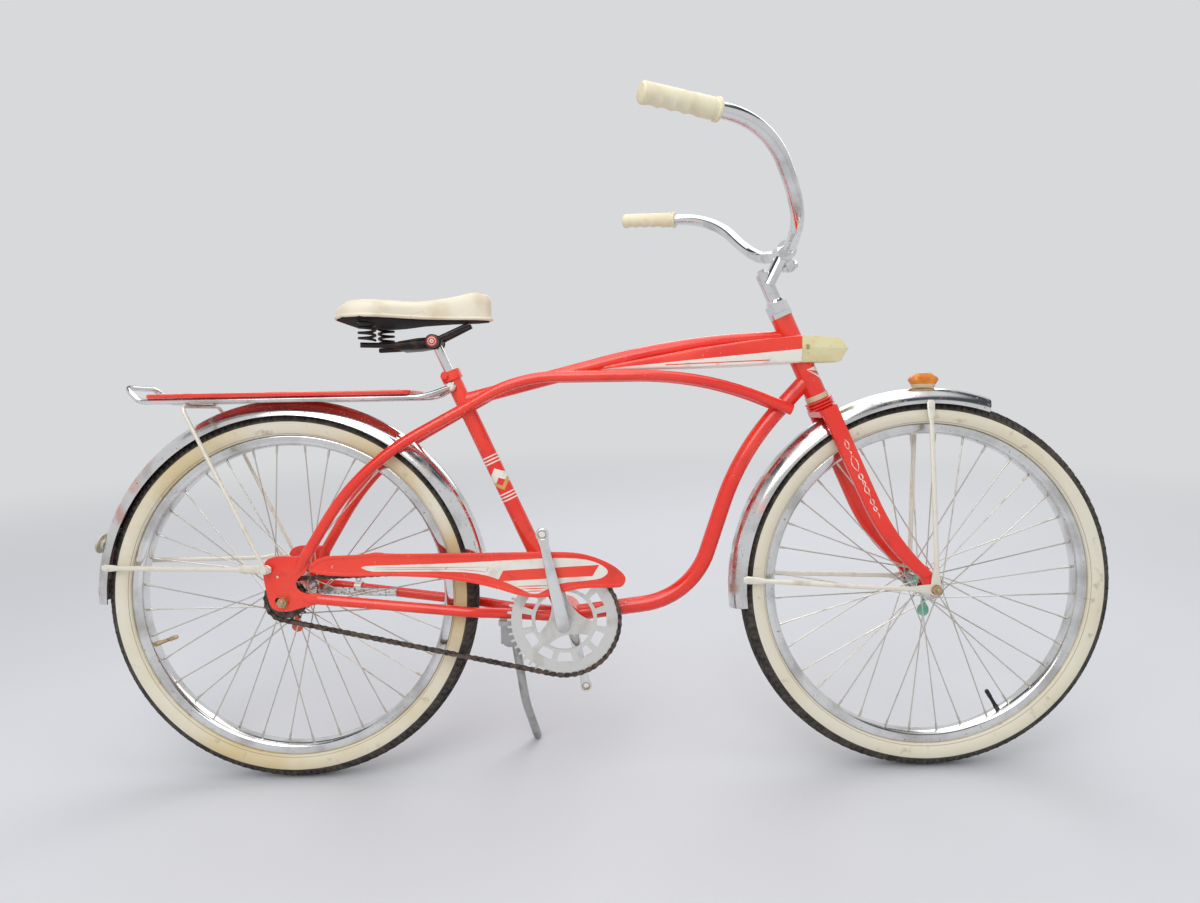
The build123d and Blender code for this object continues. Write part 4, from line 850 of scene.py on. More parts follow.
def wrapped(centre, toward, teeth, links):
    """The pins of a chain wrapped round a sprocket, from its lower run to its upper one."""
    radius = chain_pitch / (2 * math.sin(math.pi / teeth))
    angles = [(link - links / 2) * 2 * math.pi / teeth for link in range(links + 1)]
    return [centre + (toward * math.cos(angle) + chain_over * math.sin(angle)) * radius for angle in angles]


def link_shape(plate_y, barrel_radius, barrel_half):
    """One link: two waisted plates and the two barrels that join them."""
    barrel = [(0.0, -barrel_half), (barrel_radius, -barrel_half), (barrel_radius, barrel_half),
              (0.0, barrel_half)]
    plate_places = [facing(leftward * (side * plate_y - plate_thickness / 2)) for side in (1, -1)]
    plates = [plate(plate_outline, [], plate_place, plate_thickness) for plate_place in plate_places]
    barrels = [turned_on(barrel, forward * end, leftward, 8) for end in (half_pitch, -half_pitch)]
    return joined(*plates, *barrels)


chain_rust = worn_finish(
    "chain_rust", {"IOR": 2.0}, (110.0, 0.36, 0.64), 1.0, ink(44, 40, 38), ink(88, 64, 48), (0.42, 0.3),
    (0.75, -0.55))
paint_nodes(chain_rust, "rear_cog")
ring_pins = wrapped(bracket, -chain_back, ring_teeth, ring_wrap)[::-1]
cog_pins = wrapped(Vector((0, 0, 0)), chain_back, cog_teeth, cog_wrap)
lower_run = [ring_pins[-1].lerp(cog_pins[0], link / run_links) for link in range(1, run_links)]
upper_run = [cog_pins[-1].lerp(ring_pins[0], link / run_links) for link in range(1, run_links)]
chain_pins = ring_pins + lower_run + cog_pins + upper_run
link_tree, link_in = new_tree("chain_links", "Link", kind="NodeSocketObject")
link_mesh = link_in["Link"].node("GeometryNodeObjectInfo", {}, {"Object": link_in["Link"]}, "Geometry")
end_tree(link_tree, stood_on_points(link_in["Geometry"], link_mesh), chain_rust)
chain_runs = []
for first_link, plate_y, barrel_radius, barrel_half in link_kinds:
    pattern = bpy.data.objects.new("link_pattern", link_shape(plate_y, barrel_radius, barrel_half))
    places = []
    for index in range(first_link, len(chain_pins), 2):
        pin, following = chain_pins[index], chain_pins[(index + 1) % len(chain_pins)]
        run = following - pin
        places.append(((pin + following) / 2 - leftward * chain_line, (0, -math.atan2(run.z, run.x), 0)))
    chain_runs.append(grown(seeds(places), link_tree, {"Link": pattern}))
    bpy.data.objects.remove(pattern)
chain = fitted("chain_riveted", joined(*chain_runs), "frame", chain_rust, "chain")
chain.data.set_sharp_from_angle(angle=math.radians(40.0))

# Chain guard: a steel pressing with a raised rim, hung outside the upper run on two bolts.
# Its sunk panel is painted white round a bare red name plate, with fine red lines over the point.
guard_back, guard_sheet, guard_rise = -60.6, 1.0, 2.0
rim_width, rim_step, rim_edge = 6.0, 2.0, 0.8
panel_paint, plate_paint, line_lift, line_steps = 0.25, 0.2, 0.15, 6
guard_outline = [
    # x, z, from the rear along the top to the nose and back along the bottom
    (57.0, 79.0), (140.0, 80.0), (164.0, 85.0), (188.0, 80.0), (470.0, 80.0), (520.0, 76.0), (565.0, 58.0),
    (587.0, 40.0), (592.0, 30.0), (588.0, 19.0), (578.0, 14.0), (523.0, 16.0), (487.0, 10.0), (435.0, -5.0),
    (342.0, 26.0), (240.0, 42.0), (38.0, 43.0),
]
panel_outline = [
    (132.0, 60.0), (175.0, 61.0), (287.0, 62.0), (429.0, 67.5), (476.0, 68.5), (519.0, 65.8), (540.0, 60.0),
    (556.0, 51.0), (562.0, 42.0), (553.0, 33.0), (536.0, 29.0), (476.0, 24.6), (459.0, 16.0), (434.0, 4.0),
    (408.0, 17.0), (377.0, 31.3), (347.0, 42.3), (304.0, 48.1), (175.0, 50.0), (150.0, 50.6),
]
name_plate_outline = [(370.6, 29.5), (380.4, 48.1), (546.0, 55.0), (534.0, 36.0)]
guard_lines = [
    # x and z of the start and the end of each fine line, and its width
    (403.0, 20.2, 460.0, 20.8, 1.8), (411.0, 15.8, 454.0, 16.2, 1.8), (420.0, 11.4, 449.0, 11.8, 1.8),
    (160.0, 57.4, 356.0, 54.6, 1.0), (160.0, 54.4, 300.0, 52.0, 1.0), (300.0, 52.0, 352.0, 46.6, 1.0),
    (356.0, 54.6, 352.0, 46.6, 1.0), (286.0, 55.6, 280.0, 52.3, 1.0),
]


def drawn_in(outline, distance):
    """A clockwise outline moved inwards by a distance all the way round."""
    moved = []
    for index, point in enumerate(outline):
        run = (outline[(index + 1) % len(outline)] - outline[index - 1]).normalized()
        moved.append(point + Vector((run.y, -run.x)) * distance)
    return moved


guard_place, panel_place, paint_place = [facing(leftward * (guard_back - depth), out=-leftward)
                                         for depth in (0.0, guard_sheet, guard_sheet + panel_paint)]
guard_paint = red_enamel("guard_paint")
pressed_outline = eased(guard_outline, 2)
guard_field = plate(drawn_in(pressed_outline, rim_step), [], guard_place, guard_sheet)
guard_rim = plate(pressed_outline, [drawn_in(pressed_outline, rim_width)], guard_place, guard_rise, rim_edge)
guard = joined(guard_field, guard_rim)
fitted("chain_guard_pressed", guard, "frame", guard_paint, "chain_guard")
white_enamel = worn_finish(
    "white_enamel", {"Coat Roughness": 0.15, "IOR": 1.5}, (26.0, 0.52, 0.78), 0.5, ink(230, 226, 216),
    ink(178, 156, 126), (0.3, 0.3), coat=(0.4, -0.3))
panel = plate(eased(panel_outline, 1), [], panel_place, panel_paint)
fitted("guard_panel", panel, "frame", white_enamel)
name_plate = plate(name_plate_outline, [], paint_place, plate_paint)
fitted("guard_name_plate", name_plate, "frame", guard_paint)
fine_lines = bmesh.new()
for start_x, start_z, end_x, end_z, width in guard_lines:
    start, end = Vector((start_x, start_z, line_lift)), Vector((end_x, end_z, line_lift))
    points = [paint_place @ start.lerp(end, step / line_steps) for step in range(line_steps + 1)]
    add_ribbon(fine_lines, points, -leftward, width)
fitted("guard_lines", to_mesh(fine_lines), "frame", guard_paint)

# Dropouts: flat steel plates, cut away round the cog and slotted for the axle, in the frame's red.
# The ends of the frame tubes are flattened over them and brazed.
dropout_inner_y, dropout_thickness, dropout_edge = 55.0, 5.0, 0.9
dropout_middle_y = dropout_inner_y + dropout_thickness / 2
dropout_outline = [
    # x, z, from the side tube's end round the opening to the chainstay's end, and back past the axle
    (30.6, 78.2), (30.6, 78.2), (45.1, 69.3), (45.1, 69.3), (40.0, 50.0), (26.0, 40.0), (21.0, 30.0),
    (27.0, 18.0), (44.0, 12.0), (62.7, 11.0), (62.7, 11.0), (60.7, -4.9), (60.7, -4.9), (26.0, -12.0),
    (12.0, -17.0), (-12.0, -17.0), (-24.0, -6.0), (-28.0, 14.0), (-34.0, 46.0), (-32.0, 68.0), (-20.0, 78.0),
    (0.0, 80.0),
]
axle_slot = arc((2.0, 0.0), 5.4, -90, 90, 8) + arc((-9.0, 2.0), 5.4, 90, 270, 8)
small_hole = arc((-9.5, 43.0), 2.6, 0, 330, 11)
tube_ends = [
    # end of the side tube and of the chainstay, a point before it, radius
    (Vector((38.0, dropout_middle_y, 74.0)), Vector((135.0, 50.0, 231.0)), 9.5),
    (Vector((62.0, dropout_middle_y, 3.0)), Vector((325.0, 41.0, -29.0)), 9.0),
]
flattening = [
    # how far past the end, half width and half thickness as shares of the radius
    (-7.0, 1.01, 1.01), (-1.0, 1.02, 1.02), (7.0, 1.0, 0.80), (15.0, 0.96, 0.52), (23.0, 0.80, 0.37),
    (28.0, 0.50, 0.31),
]
rod_sides = 20


def loft(rings, smooth_angle=40.0, edge=0.0):
    """A closed skin through rings of points, capped at both ends, with any sharp edges rounded."""
    shape = bmesh.new()
    rows = [[shape.verts.new(point) for point in ring_points] for ring_points in rings]
    skin(shape, rows, False, True)
    shape.faces.new(rows[0])
    shape.faces.new(rows[-1][::-1])
    bmesh.ops.recalc_face_normals(shape, faces=shape.faces)
    if edge:
        rounded_edges(shape, 14.0, edge, 2)
    return to_mesh(shape, smooth_angle)


def swept(rows):
    """A rod through (point, half width, half thickness) rows, its width lying in the plane of the wheels."""
    rings = []
    for index, (point, half_width, half_thickness) in enumerate(rows):
        run = rows[min(index + 1, len(rows) - 1)][0] - rows[max(index - 1, 0)][0]
        across = run.cross(leftward).normalized()
        out = across.cross(run).normalized()
        turns = [pointing(360 * step / rod_sides) for step in range(rod_sides)]
        wide, thick = across * half_width, out * half_thickness
        rings.append([point + wide * turn.x + thick * turn.z for turn in turns])
    return loft(rings, 50.0)


for side, sign in (("left", 1), ("right", -1)):
    outward, mirror = leftward * sign, Vector((1, sign, 1))
    cut_plate = plate(eased(dropout_outline, 2), [axle_slot, small_hole],
                      facing(outward * dropout_inner_y, out=outward), dropout_thickness, dropout_edge)
    flattened = []
    for end, before, radius in tube_ends:
        run = (end - before).normalized()
        flattened.append(swept([((end + run * reach) * mirror, radius * wide, radius * thick)
                                for reach, wide, thick in flattening]))
    fitted(f"dropout_{side}_cut", joined(cut_plate, *flattened), "frame", frame_paint,
           f"dropout_{side}")

# Coaster brake arm: a flat steel arm from the left end of the rear hub to the left chainstay.
# A pierced steel clip, bent round the stay and closed with a bolt, holds its end.
clip_half_width, clip_radius, clip_sheet, clip_overlap = 6.5, 10.2, 1.4, 1.0
clip_outline = [(clip_radius + clip_sheet, -clip_half_width), (clip_radius + clip_sheet, clip_half_width),
                (clip_radius, clip_half_width), (clip_radius, -clip_half_width),
                (clip_radius + clip_sheet, -clip_half_width)]
clip_tail = eased([(0.0, -6.0), (30.0, -6.0), (30.0, 6.0), (0.0, 6.0)], 1)
clip_holes = [arc((u, 0), 2.4, 0, 330, 11) for u in (6.0, 14.0, 22.0)]
stay_run, stay_spot = Vector((263.0, -16.5, -32.0)), Vector((96.0, 55.4, -1.2))
paint_nodes(chrome("brake_arm_steel", pitted=0.56), "brake_arm")
clip_band = turned_on(clip_outline, stay_spot, stay_run, 28)
clip_place = facing(stay_spot + upward * (clip_radius - clip_overlap), upward, forward, -leftward)
clip_plate = plate(clip_tail, clip_holes, clip_place, clip_sheet)
fitted("brake_arm_clip", joined(clip_band, clip_plate), "frame", ring_steel)

# Fenders: rolled steel gutters with a bead at each edge, chromed, and browned with rust at their tails.
# Creamy galvanised rods stay them to the axles.
fender_radius, fender_half_width, fender_depth, fender_wall, fender_bead = 350.0, 31.0, 28.0, 1.6, 0.7
section_radius = (fender_half_width**2 + fender_depth**2) / (2 * fender_depth)
fender_half_angle = math.degrees(math.atan2(fender_half_width, section_radius - fender_depth))
fender_flats, fender_steps = 20, 96
fenders = {
    # body, start and end angles, where the rust lies: its angle and spread
    "front": ("steering", 71.0, 186.0, 180.0, 22.0),
    "rear": ("frame", 12.0, 181.0, 178.0, 26.0),
}


def tail_rust(x, rust_angle, spread):
    """Rust that gathers towards one end of a fender, and a bloom of it elsewhere."""
    def marks(place):
        near = along(place, (x, 0, 0), pointing(rust_angle)) / fender_radius
        ending, flank = rising(near, math.cos(math.radians(spread)), 1.0), rising(near, 0.5, 0.92)
        yield patches(place, 24.0, 0.50, 0.64) * flank * 0.65, ink(198, 96, 70)
        yield patches(place, 28.0, 0.44, 0.66) * ending, ink(150, 98, 62)
        yield patches(place, 22.0, 0.60, 0.78) * 0.5, ink(172, 136, 118)
    return marks


outer_row, inner_row = [], []
for flat in range(fender_flats + 1):
    out = pointing(fender_half_angle * (2 * flat / fender_flats - 1))
    wall = fender_wall + (fender_bead if flat in (0, fender_flats) else 0.0)
    for reach, row in ((section_radius, outer_row), (section_radius - wall, inner_row)):
        row.append((fender_radius - section_radius + reach * out.x, reach * out.z))
fender_outline = outer_row + inner_row[::-1]
for wheel, (body, start, end, rust_angle, spread) in fenders.items():
    fender_chrome = chrome(f"{wheel}_fender_chrome", tail_rust(wheels[wheel], rust_angle, spread), 0.64)
    gutter = ring(fender_outline, wheels[wheel], fender_steps, start, end - start)
    fitted(f"{wheel}_fender_rolled", gutter, body, fender_chrome, f"{wheel}_fender")
stay_foot_y, front_eye_y, front_rod_y, rear_rod_y = 34.3, 56.8, 58.3, 63.6
front_feet = [(0.0, 326.0), (-326.0, 18.0)]
front_elbow_reach, elbow_cut = 70.0, 0.2
rear_stay_foot, rear_stay_eye = Vector((-324.0, stay_foot_y, 60.0)), Vector((-25.0, rear_rod_y, 57.6))
rod = (4.2, 2.7)
eye_washer = [(4.2, -1.5), (12.0, -1.5), (12.0, 1.5), (4.2, 1.5), (4.2, -1.5)]
stay_bolt = {"Across": 3.8, "Height": 2.4, "Washer": 4.4}
bolt_lift, front_bolt_reach, rear_bolt_reach = 1.2, -9.0, 8.0
# reach from the eye, the elbow or the foot, half width, half thickness
front_eye_rows = [(8.0, 9.0, 1.5), (26.0, 7.0, 1.6)]
elbow_rows, past_elbow_rows = [(-30.0, *rod), (-9.0, *rod)], [(9.0, *rod)]
front_foot_rows = [(-36.0, *rod), (-24.0, 6.4, 1.5), (-3.0, 7.0, 1.4), (2.0, 4.0, 1.2)]
rear_foot_rows = [(-2.0, 4.0, 1.2), (3.0, 6.4, 1.4), (16.0, 6.0, 1.6), (28.0, *rod)]
rear_eye_rows = [(-52.0, *rod), (-40.0, 7.6, 1.7), (2.0, 7.8, 1.7), (8.0, 4.4, 1.5)]


def cells(place, scale):
    """Small cells over a surface, each darkest at its middle."""
    return place.node("ShaderNodeTexVoronoi", {}, {"Vector": place, "Scale": scale})


def stretch(origin, run, rows):
    """Rows of a rod by how far along a run from an origin they lie, with half width and half thickness."""
    return [(origin + run * reach, half_width, half_thickness) for reach, half_width, half_thickness in rows]


galvanised, place = new_finish("galvanised", {"IOR": 1.8})
zinc_dirt = patches(place, 30.0, 0.54, 0.78)
lay_on(galvanised, {
    "Base Color": mixed(zinc_dirt * 0.5, ink(226, 221, 206), ink(166, 138, 98)),
    "Metallic": 0.25 - zinc_dirt * 0.2,
    "Roughness": 0.34 + cells(place, 140.0) * 0.12 + zinc_dirt * 0.25,
})
front_stays, rear_stays, front_bolts, rear_bolts = [], [], [], []
for sign in (1, -1):
    outward, mirror = leftward * sign, Vector((1, sign, 1))
    hub_eye = forward * wheelbase + outward * front_eye_y
    front_stays.append(turned_on(eye_washer, hub_eye, outward, 28))
    for foot_x, foot_z in front_feet:
        toward = Vector((foot_x, 0, foot_z)).normalized()
        elbow = forward * wheelbase + toward * front_elbow_reach + outward * front_rod_y
        foot = Vector((wheelbase + foot_x, sign * stay_foot_y, foot_z))
        run = (foot - elbow).normalized()
        front_stays.append(swept(
            stretch(hub_eye, toward, front_eye_rows) + stretch(elbow, toward, elbow_rows)
            + stretch(elbow - outward * elbow_cut, run, past_elbow_rows)
            + stretch(foot, run, front_foot_rows)))
        front_bolts.append((foot + run * front_bolt_reach + outward * bolt_lift, outward))
    foot, eye = rear_stay_foot * mirror, rear_stay_eye * mirror
    run = (eye - foot).normalized()
    rear_stays.append(swept(stretch(foot, run, rear_foot_rows) + stretch(eye, run, rear_eye_rows)))
    rear_bolts.append((foot + run * rear_bolt_reach + outward * bolt_lift, outward))
for wheel, stays, bolts in (("front", front_stays, front_bolts), ("rear", rear_stays, rear_bolts)):
    body = fenders[wheel][0]
    fitted(f"{wheel}_stays_flattened", joined(*stays), body, galvanised,
           f"{wheel}_fender_stays")
    fitted(f"{wheel}_stay_bolts", heads(bolts, stay_bolt), body, galvanised)

# Rack: a chromed tube loop clamped to the seat tube, with a red deck over it and a bent rod down to the
# dropouts. A pale line runs along each edge of the deck.
deck_rear, deck_front, deck_half_width, deck_sweep = -225.0, 228.0, 62.0, 14.0
deck_low, deck_sheet, deck_edge = 354.3, 6.8, 1.6
deck_ribs, rib_half, rib_end, rib_top, rib_edge = (-34.0, 0.0, 34.0), 7.0, 26.0, 8.0, 1.1
line_sides, line_height = (40.0, 44.0), 5.0
rack_eye = [(0.0, 0.0), (9.5, 0.0), (9.5, 5.0), (8.0, 6.5), (0.0, 6.5)]
eye_x, eye_y, eye_z, eye_bolt_y, strut_bolt_y = 291.0, 16.0, 366.0, 22.4, 73.4
rack_bolt = {"Across": 5.6, "Height": 4.0, "Washer": 7.0}


def deck_lines(place):
    """The pale line near each edge of the deck's top, worn away in places."""
    height, side = along(place, (0, 0, deck_low), upward), abs(along(place, (0, 0, 0), leftward))
    worn = 1.0 - patches(place, 14.0, 0.56, 0.68)
    yield within(side, *line_sides) * (height > line_height) * worn, ink(226, 220, 208)


def rounded(centre, half_u, half_v, corner, steps):
    """A rectangle with round corners, as points round it."""
    outline = []
    for quarter, (u_way, v_way) in enumerate(((1, 1), (-1, 1), (-1, -1), (1, -1))):
        middle = (centre[0] + u_way * (half_u - corner), centre[1] + v_way * (half_v - corner))
        outline += arc(middle, corner, 90 * quarter, 90 * quarter + 90, steps)
    return outline


deck_place = facing(upward * deck_low, forward, leftward, upward)
deck_middle, deck_half_length = (deck_front + deck_rear) / 2, (deck_front - deck_rear) / 2
deck_outline = rounded((deck_middle, 0.0), deck_half_length, deck_half_width, deck_sweep, 5)
deck_pieces = [plate(deck_outline, [], deck_place, deck_sheet, deck_edge)]
for y in deck_ribs:
    rib_outline = (arc((deck_front - rib_end, y), rib_half, -90, 90, 8)
                   + arc((deck_rear + rib_end, y), rib_half, 90, 270, 8))
    deck_pieces.append(plate(rib_outline, [], deck_place, rib_top, rib_edge))
deck_paint = red_enamel("deck_paint", deck_lines)
fitted("rack_deck_pressed", joined(*deck_pieces), "frame", deck_paint, "rack_deck")
rack_chrome = chrome("rack_chrome", pitted=0.66)
paint_nodes(rack_chrome, "rack_frame")
paint_nodes(galvanised, "rack_strut")
rack_eyes = turned_pair(rack_eye, both_sides(eye_x, eye_y, eye_z), 28)
fitted("rack_eyes", rack_eyes, "frame", rack_chrome)
rack_bolts = both_sides(rear_stay_eye.x, strut_bolt_y, rear_stay_eye.z) + both_sides(eye_x, eye_bolt_y, eye_z)
fitted("rack_bolts", heads(rack_bolts, rack_bolt), "frame", galvanised)

# Tank: two steel pressings joined round the top tube, red above and white below a slanting line.
# A fine red stripe runs along the white. It is screwed to the frame tubes.
tank_sections = [
    # x, bottom z, top z, half width
    (548.0, 392.6, 396.6, 4.0), (552.0, 392.0, 397.4, 9.0), (562.3, 391.1, 399.3, 11.0),
    (640.0, 391.0, 412.0, 19.0), (727.2, 391.6, 426.1, 27.0), (816.0, 394.2, 437.0, 29.4),
    (900.0, 396.9, 444.4, 31.0), (905.1, 397.6, 444.0, 30.2),
]
tank_corner, least_flat, tank_foot = 4.0, 0.5, (548.0, 0.0, 392.0)
white_slope, stripe_slope = 28.5 / 357.0, 9.0 / 357.0
stripe_rise, stripe_half, stripe_ends = 2.5, 0.9, (120.0, 300.0)


def tank_colours(place):
    """White below the slanting line, with the fine red stripe inside it."""
    ahead, height = along(place, tank_foot, forward), along(place, tank_foot, upward)
    yield height < ahead * white_slope, ink(230, 226, 216)
    stripe = height - stripe_rise - ahead * stripe_slope
    yield within(stripe, -stripe_half, stripe_half) * within(ahead, *stripe_ends), red_fresh


rings_of_tank = []
for x, low, high, half in tank_sections:
    corner = min(tank_corner, (high - low) / 2 - least_flat, half - least_flat)
    section = rounded((0.0, (high + low) / 2), half, (high - low) / 2, corner, 4)
    rings_of_tank.append([Vector((x, y, z)) for y, z in section])
tank_paint = red_enamel("tank_paint", tank_colours)
fitted("tank_shell", loft(rings_of_tank), "frame", tank_paint, "tank")

# Headlamp: a cream plastic shell with a crease along each side, brought to a blunt point ahead of the tank.
# One screw on each side holds it.
lamp_level = 444.3
lamp_sections = [
    # x, height against the level and half width of the bottom corner, of the crease and of the top corner
    ((905.5, -47.0, 25.0), (905.5, -21.0, 31.0), (905.5, 0.6, 26.0)),
    ((940.0, -46.6, 24.0), (940.0, -22.0, 30.2), (940.0, -2.0, 25.0)),
    ((975.5, -45.6, 19.0), (986.8, -23.2, 25.0), (975.0, -5.2, 19.0)),
    ((986.0, -25.6, 23.4), (987.6, -23.2, 24.0), (986.0, -20.8, 23.4)),
]
lamp_crease, lamp_edge = 9.0, 0.5
lamp_screw = {"Across": 3.0, "Height": 2.2, "Washer": 4.4}
lamp_screws = both_sides(915.0, 30.0, lamp_level - 20.5)
cream_plastic, place = new_finish("cream_plastic", {"IOR": 1.46})
plastic_age = patches(place, 18.0, 0.40, 0.72)
plastic_dirt = patches(place, 80.0, 0.58, 0.76)
aged_cream = mixed(plastic_age, ink(222, 213, 168), ink(204, 192, 138))
lay_on(cream_plastic, {
    "Base Color": mixed(plastic_dirt * 0.4, aged_cream, ink(140, 120, 84)),
    "Roughness": 0.38 + plastic_age * 0.12 + plastic_dirt * 0.2,
    "Normal": raised(plastic_dirt, 0.06, 0.0004),
})
rings_of_lamp = []
for section in lamp_sections:
    right = [Vector((x, -half, lamp_level + z)) for x, z, half in section]
    rings_of_lamp.append(right + [corner * Vector((1, -1, 1)) for corner in reversed(right)])
lamp_shell = loft(rings_of_lamp, lamp_crease, lamp_edge)
fitted("headlamp_shell", lamp_shell, "frame", cream_plastic, "headlamp")
fitted("lamp_screws", heads(lamp_screws, lamp_screw), "frame", brassy_nut)

# Handlebar and stem: a wide, swept-back bar of chromed steel tube, clamped in a forged stem.
# The stem's column is drawn tight in the steerer by a long bolt from its top, and its clamp by one in front.
stem_high, stem_column = 605.4, 57.8
bar_middle = on_steerer(624.6, 50.8)
lug_down, lug_ahead = Vector((0.33, 0, -0.944)), Vector((0.944, 0, 0.33))
lug_half_width, lug_half_thickness, lug_edge, lug_bolt_reach = 9.0, 6.5, 1.2, 27.0
lug_taper = [
    # reach below the bar, share of the full section
    (12.0, 1.0), (30.0, 1.0), (35.0, 0.85), (37.5, 0.5),
]
collar = [(12.8, 0.0), (16.0, 0.0), (16.0, 4.0), (14.2, 7.0), (12.8, 7.0), (12.8, 0.0)]
stem_bolt = {"Across": 7.4, "Height": 7.0, "Washer": 8.8}
paint_nodes(chrome("bar_chrome", pitted=0.68), "handlebar")
paint_nodes(bright_chrome, "stem")
rings_of_lug = []
for reach, share in lug_taper:
    centre = bar_middle + lug_down * reach
    side, ahead = leftward * (lug_half_width * share), lug_ahead * (lug_half_thickness * share)
    rings_of_lug.append([centre + side + ahead, centre - side + ahead, centre - side - ahead,
                         centre + side - ahead])
stem_collar = turned_on(collar, on_steerer(stem_high - stem_column), steer_up, 32)
lug = loft(rings_of_lug, edge=lug_edge)
fitted("stem_clamp_lug", joined(lug, stem_collar), "steering", bright_chrome)
lug_bolt = bar_middle + lug_down * lug_bolt_reach
stem_bolts = [(on_steerer(stem_high), steer_up), (lug_bolt + lug_ahead * lug_half_thickness, lug_ahead),
              (lug_bolt - lug_ahead * lug_half_thickness, -lug_ahead)]
fitted("stem_bolts", heads(stem_bolts, stem_bolt), "steering", bright_chrome)

# Grips: cream rubber moulded in one, with fine ribs along the top, four finger hollows beneath and a flange
# inboard. They are pushed over the ends of the bar.
grip_length, grip_radius, grip_past_bar = 118.0, 14.9, 3.9
flange_radius, flange_length, flange_round = 16.8, 6.0, 1.2
neck_radius, neck_start = 14.3, 12.0
end_round, end_slope = 3.0, 0.9
rib_pitch, rib_rise = 4.2, 0.28
fingers, finger_start, finger_pitch, finger_depth, finger_narrowness = 4, 8.0, 20.0, 2.4, 1.5
grip_steps, grip_sides = 118, 36
bar_end, bar_bend = Vector((616.0, 353.0, 735.05)), Vector((796.9, 282.4, 720.0))


def grip_section(reach):
    """The grip's radius at a reach from its end, with a finger hollow's depth and a rib's rise there."""
    radius, rib, hollow = grip_radius, rib_rise * math.cos(2 * math.pi * reach / rib_pitch), 0.0
    if reach > grip_length - neck_start:
        radius, rib = neck_radius, 0.0
    if reach > grip_length - flange_length:
        radius = flange_radius - max(0.0, reach - grip_length + flange_round)
    if finger_start < reach < finger_start + fingers * finger_pitch:
        hollow = finger_depth * math.sin(math.pi * ((reach - finger_start) % finger_pitch) / finger_pitch)
    return radius - max(0.0, end_round - reach) * end_slope, hollow, rib


cream_rubber, place = new_finish("cream_rubber", {"IOR": 1.45})
rubber_dirt = patches(place, 34.0, 0.50, 0.80)
rubber_age = mixed(patches(place, 9.0, 0.35, 0.7), ink(232, 224, 196), ink(224, 210, 172))
lay_on(cream_rubber, {
    "Base Color": mixed(rubber_dirt * 0.22, rubber_age, ink(160, 140, 104)),
    "Roughness": 0.5 + rubber_dirt * 0.15,
})
for side, sign in (("left", 1), ("right", -1)):
    mirror = Vector((1, sign, 1))
    end = bar_end * mirror
    inward = (bar_bend * mirror - end).normalized()
    under = (inward * inward.z - upward).normalized()
    across = inward.cross(under)
    rings_of_grip = []
    for step in range(grip_steps + 1):
        reach = grip_length * step / grip_steps
        radius, hollow, rib = grip_section(reach)
        middle = end + inward * (reach - grip_past_bar)
        points = []
        for corner in range(grip_sides):
            turn = pointing(360 * corner / grip_sides)
            out = radius - hollow * max(0.0, turn.x) ** finger_narrowness + rib * max(0.0, -turn.x)
            points.append(middle + (under * turn.x + across * turn.z) * out)
        rings_of_grip.append(points)
    grip = loft(rings_of_grip, 50.0)
    fitted(f"grip_{side}_moulded", grip, "steering", cream_rubber, f"grip_{side}")

# Saddle: a stuffed cream vinyl cover drawn over a black steel pan, with a welted lower edge.
# Two coil springs and a pair of black rails carry it on a clamp at the top of a plain chromed post.
saddle_low = 484.4
saddle_tops = [
    # x, top z
    (104.0, 499.0), (112.0, 510.0), (125.0, 515.5), (160.0, 518.0), (237.0, 514.0), (300.0, 524.0),
    (335.0, 533.0), (350.0, 533.5), (358.0, 528.0), (363.0, 516.0),
]
saddle_halves = [
    # x, half width
    (104.0, 50.0), (112.0, 78.0), (125.0, 97.0), (160.0, 107.0), (195.0, 92.0), (237.0, 56.0), (290.0, 33.5),
    (340.0, 26.0), (356.0, 18.0), (363.0, 8.0),
]
top_spread, half_spread = 18.0, 16.0
saddle_stations, saddle_arcs = 60, 26
side_fullness, crown_fullness = 0.55, 0.62
groove_depth, groove_narrowness, groove_least_half = 3.0, 6.0, 40.0
welt_radius = 3.2
bridge_rows = [
    # x, half width, bottom and top
    (196.0, 33.0, 434.0, 441.0), (204.0, 34.0, 431.0, 446.0), (236.0, 25.0, 432.0, 452.0),
    (256.0, 17.0, 434.0, 454.0),
]
bridge_edge = 2.0
spring_x, spring_y, spring_low, spring_high = 160.0, 62.0, 443.2, 479.2
spring_radius, spring_wire, spring_turns, spring_steps = 13.6, 2.3, 3.5, 56
clamp_middle, cap_y = Vector((262.5, 0, 445.7)), 25.8
clamp_cap = [(0.0, 0.0), (12.4, 0.0), (12.4, 3.0), (10.6, 4.4), (0.0, 5.2)]
cap_rings = [
    # inner and outer radius, colour
    (9.6, 20.0, ink(52, 40, 38)), (6.0, 7.4, ink(214, 190, 176)), (1.2, 3.6, ink(226, 214, 204)),
    (-1.0, 1.2, ink(58, 44, 42)),
]
collar_bolts = both_sides(281.0, 18.4, 386.0)
collar_bolt = {"Across": 6.0, "Height": 4.4, "Washer": 7.2}


def between_rows(table, x):
    """A value read off a table, on straight lines between its rows."""
    for (x0, low), (x1, high) in zip(table, table[1:]):
        if x <= x1:
            return low + (high - low) * (x - x0) / (x1 - x0)
    return table[-1][1]


def smoothed(table, x, spread):
    """The same, with its corners rounded over a spread."""
    reach = min(spread, x - table[0][0], table[-1][0] - x)
    values = [between_rows(table, x + reach * step) for step in (-1.0, -0.5, 0.0, 0.5, 1.0)]
    return sum(values) / len(values)


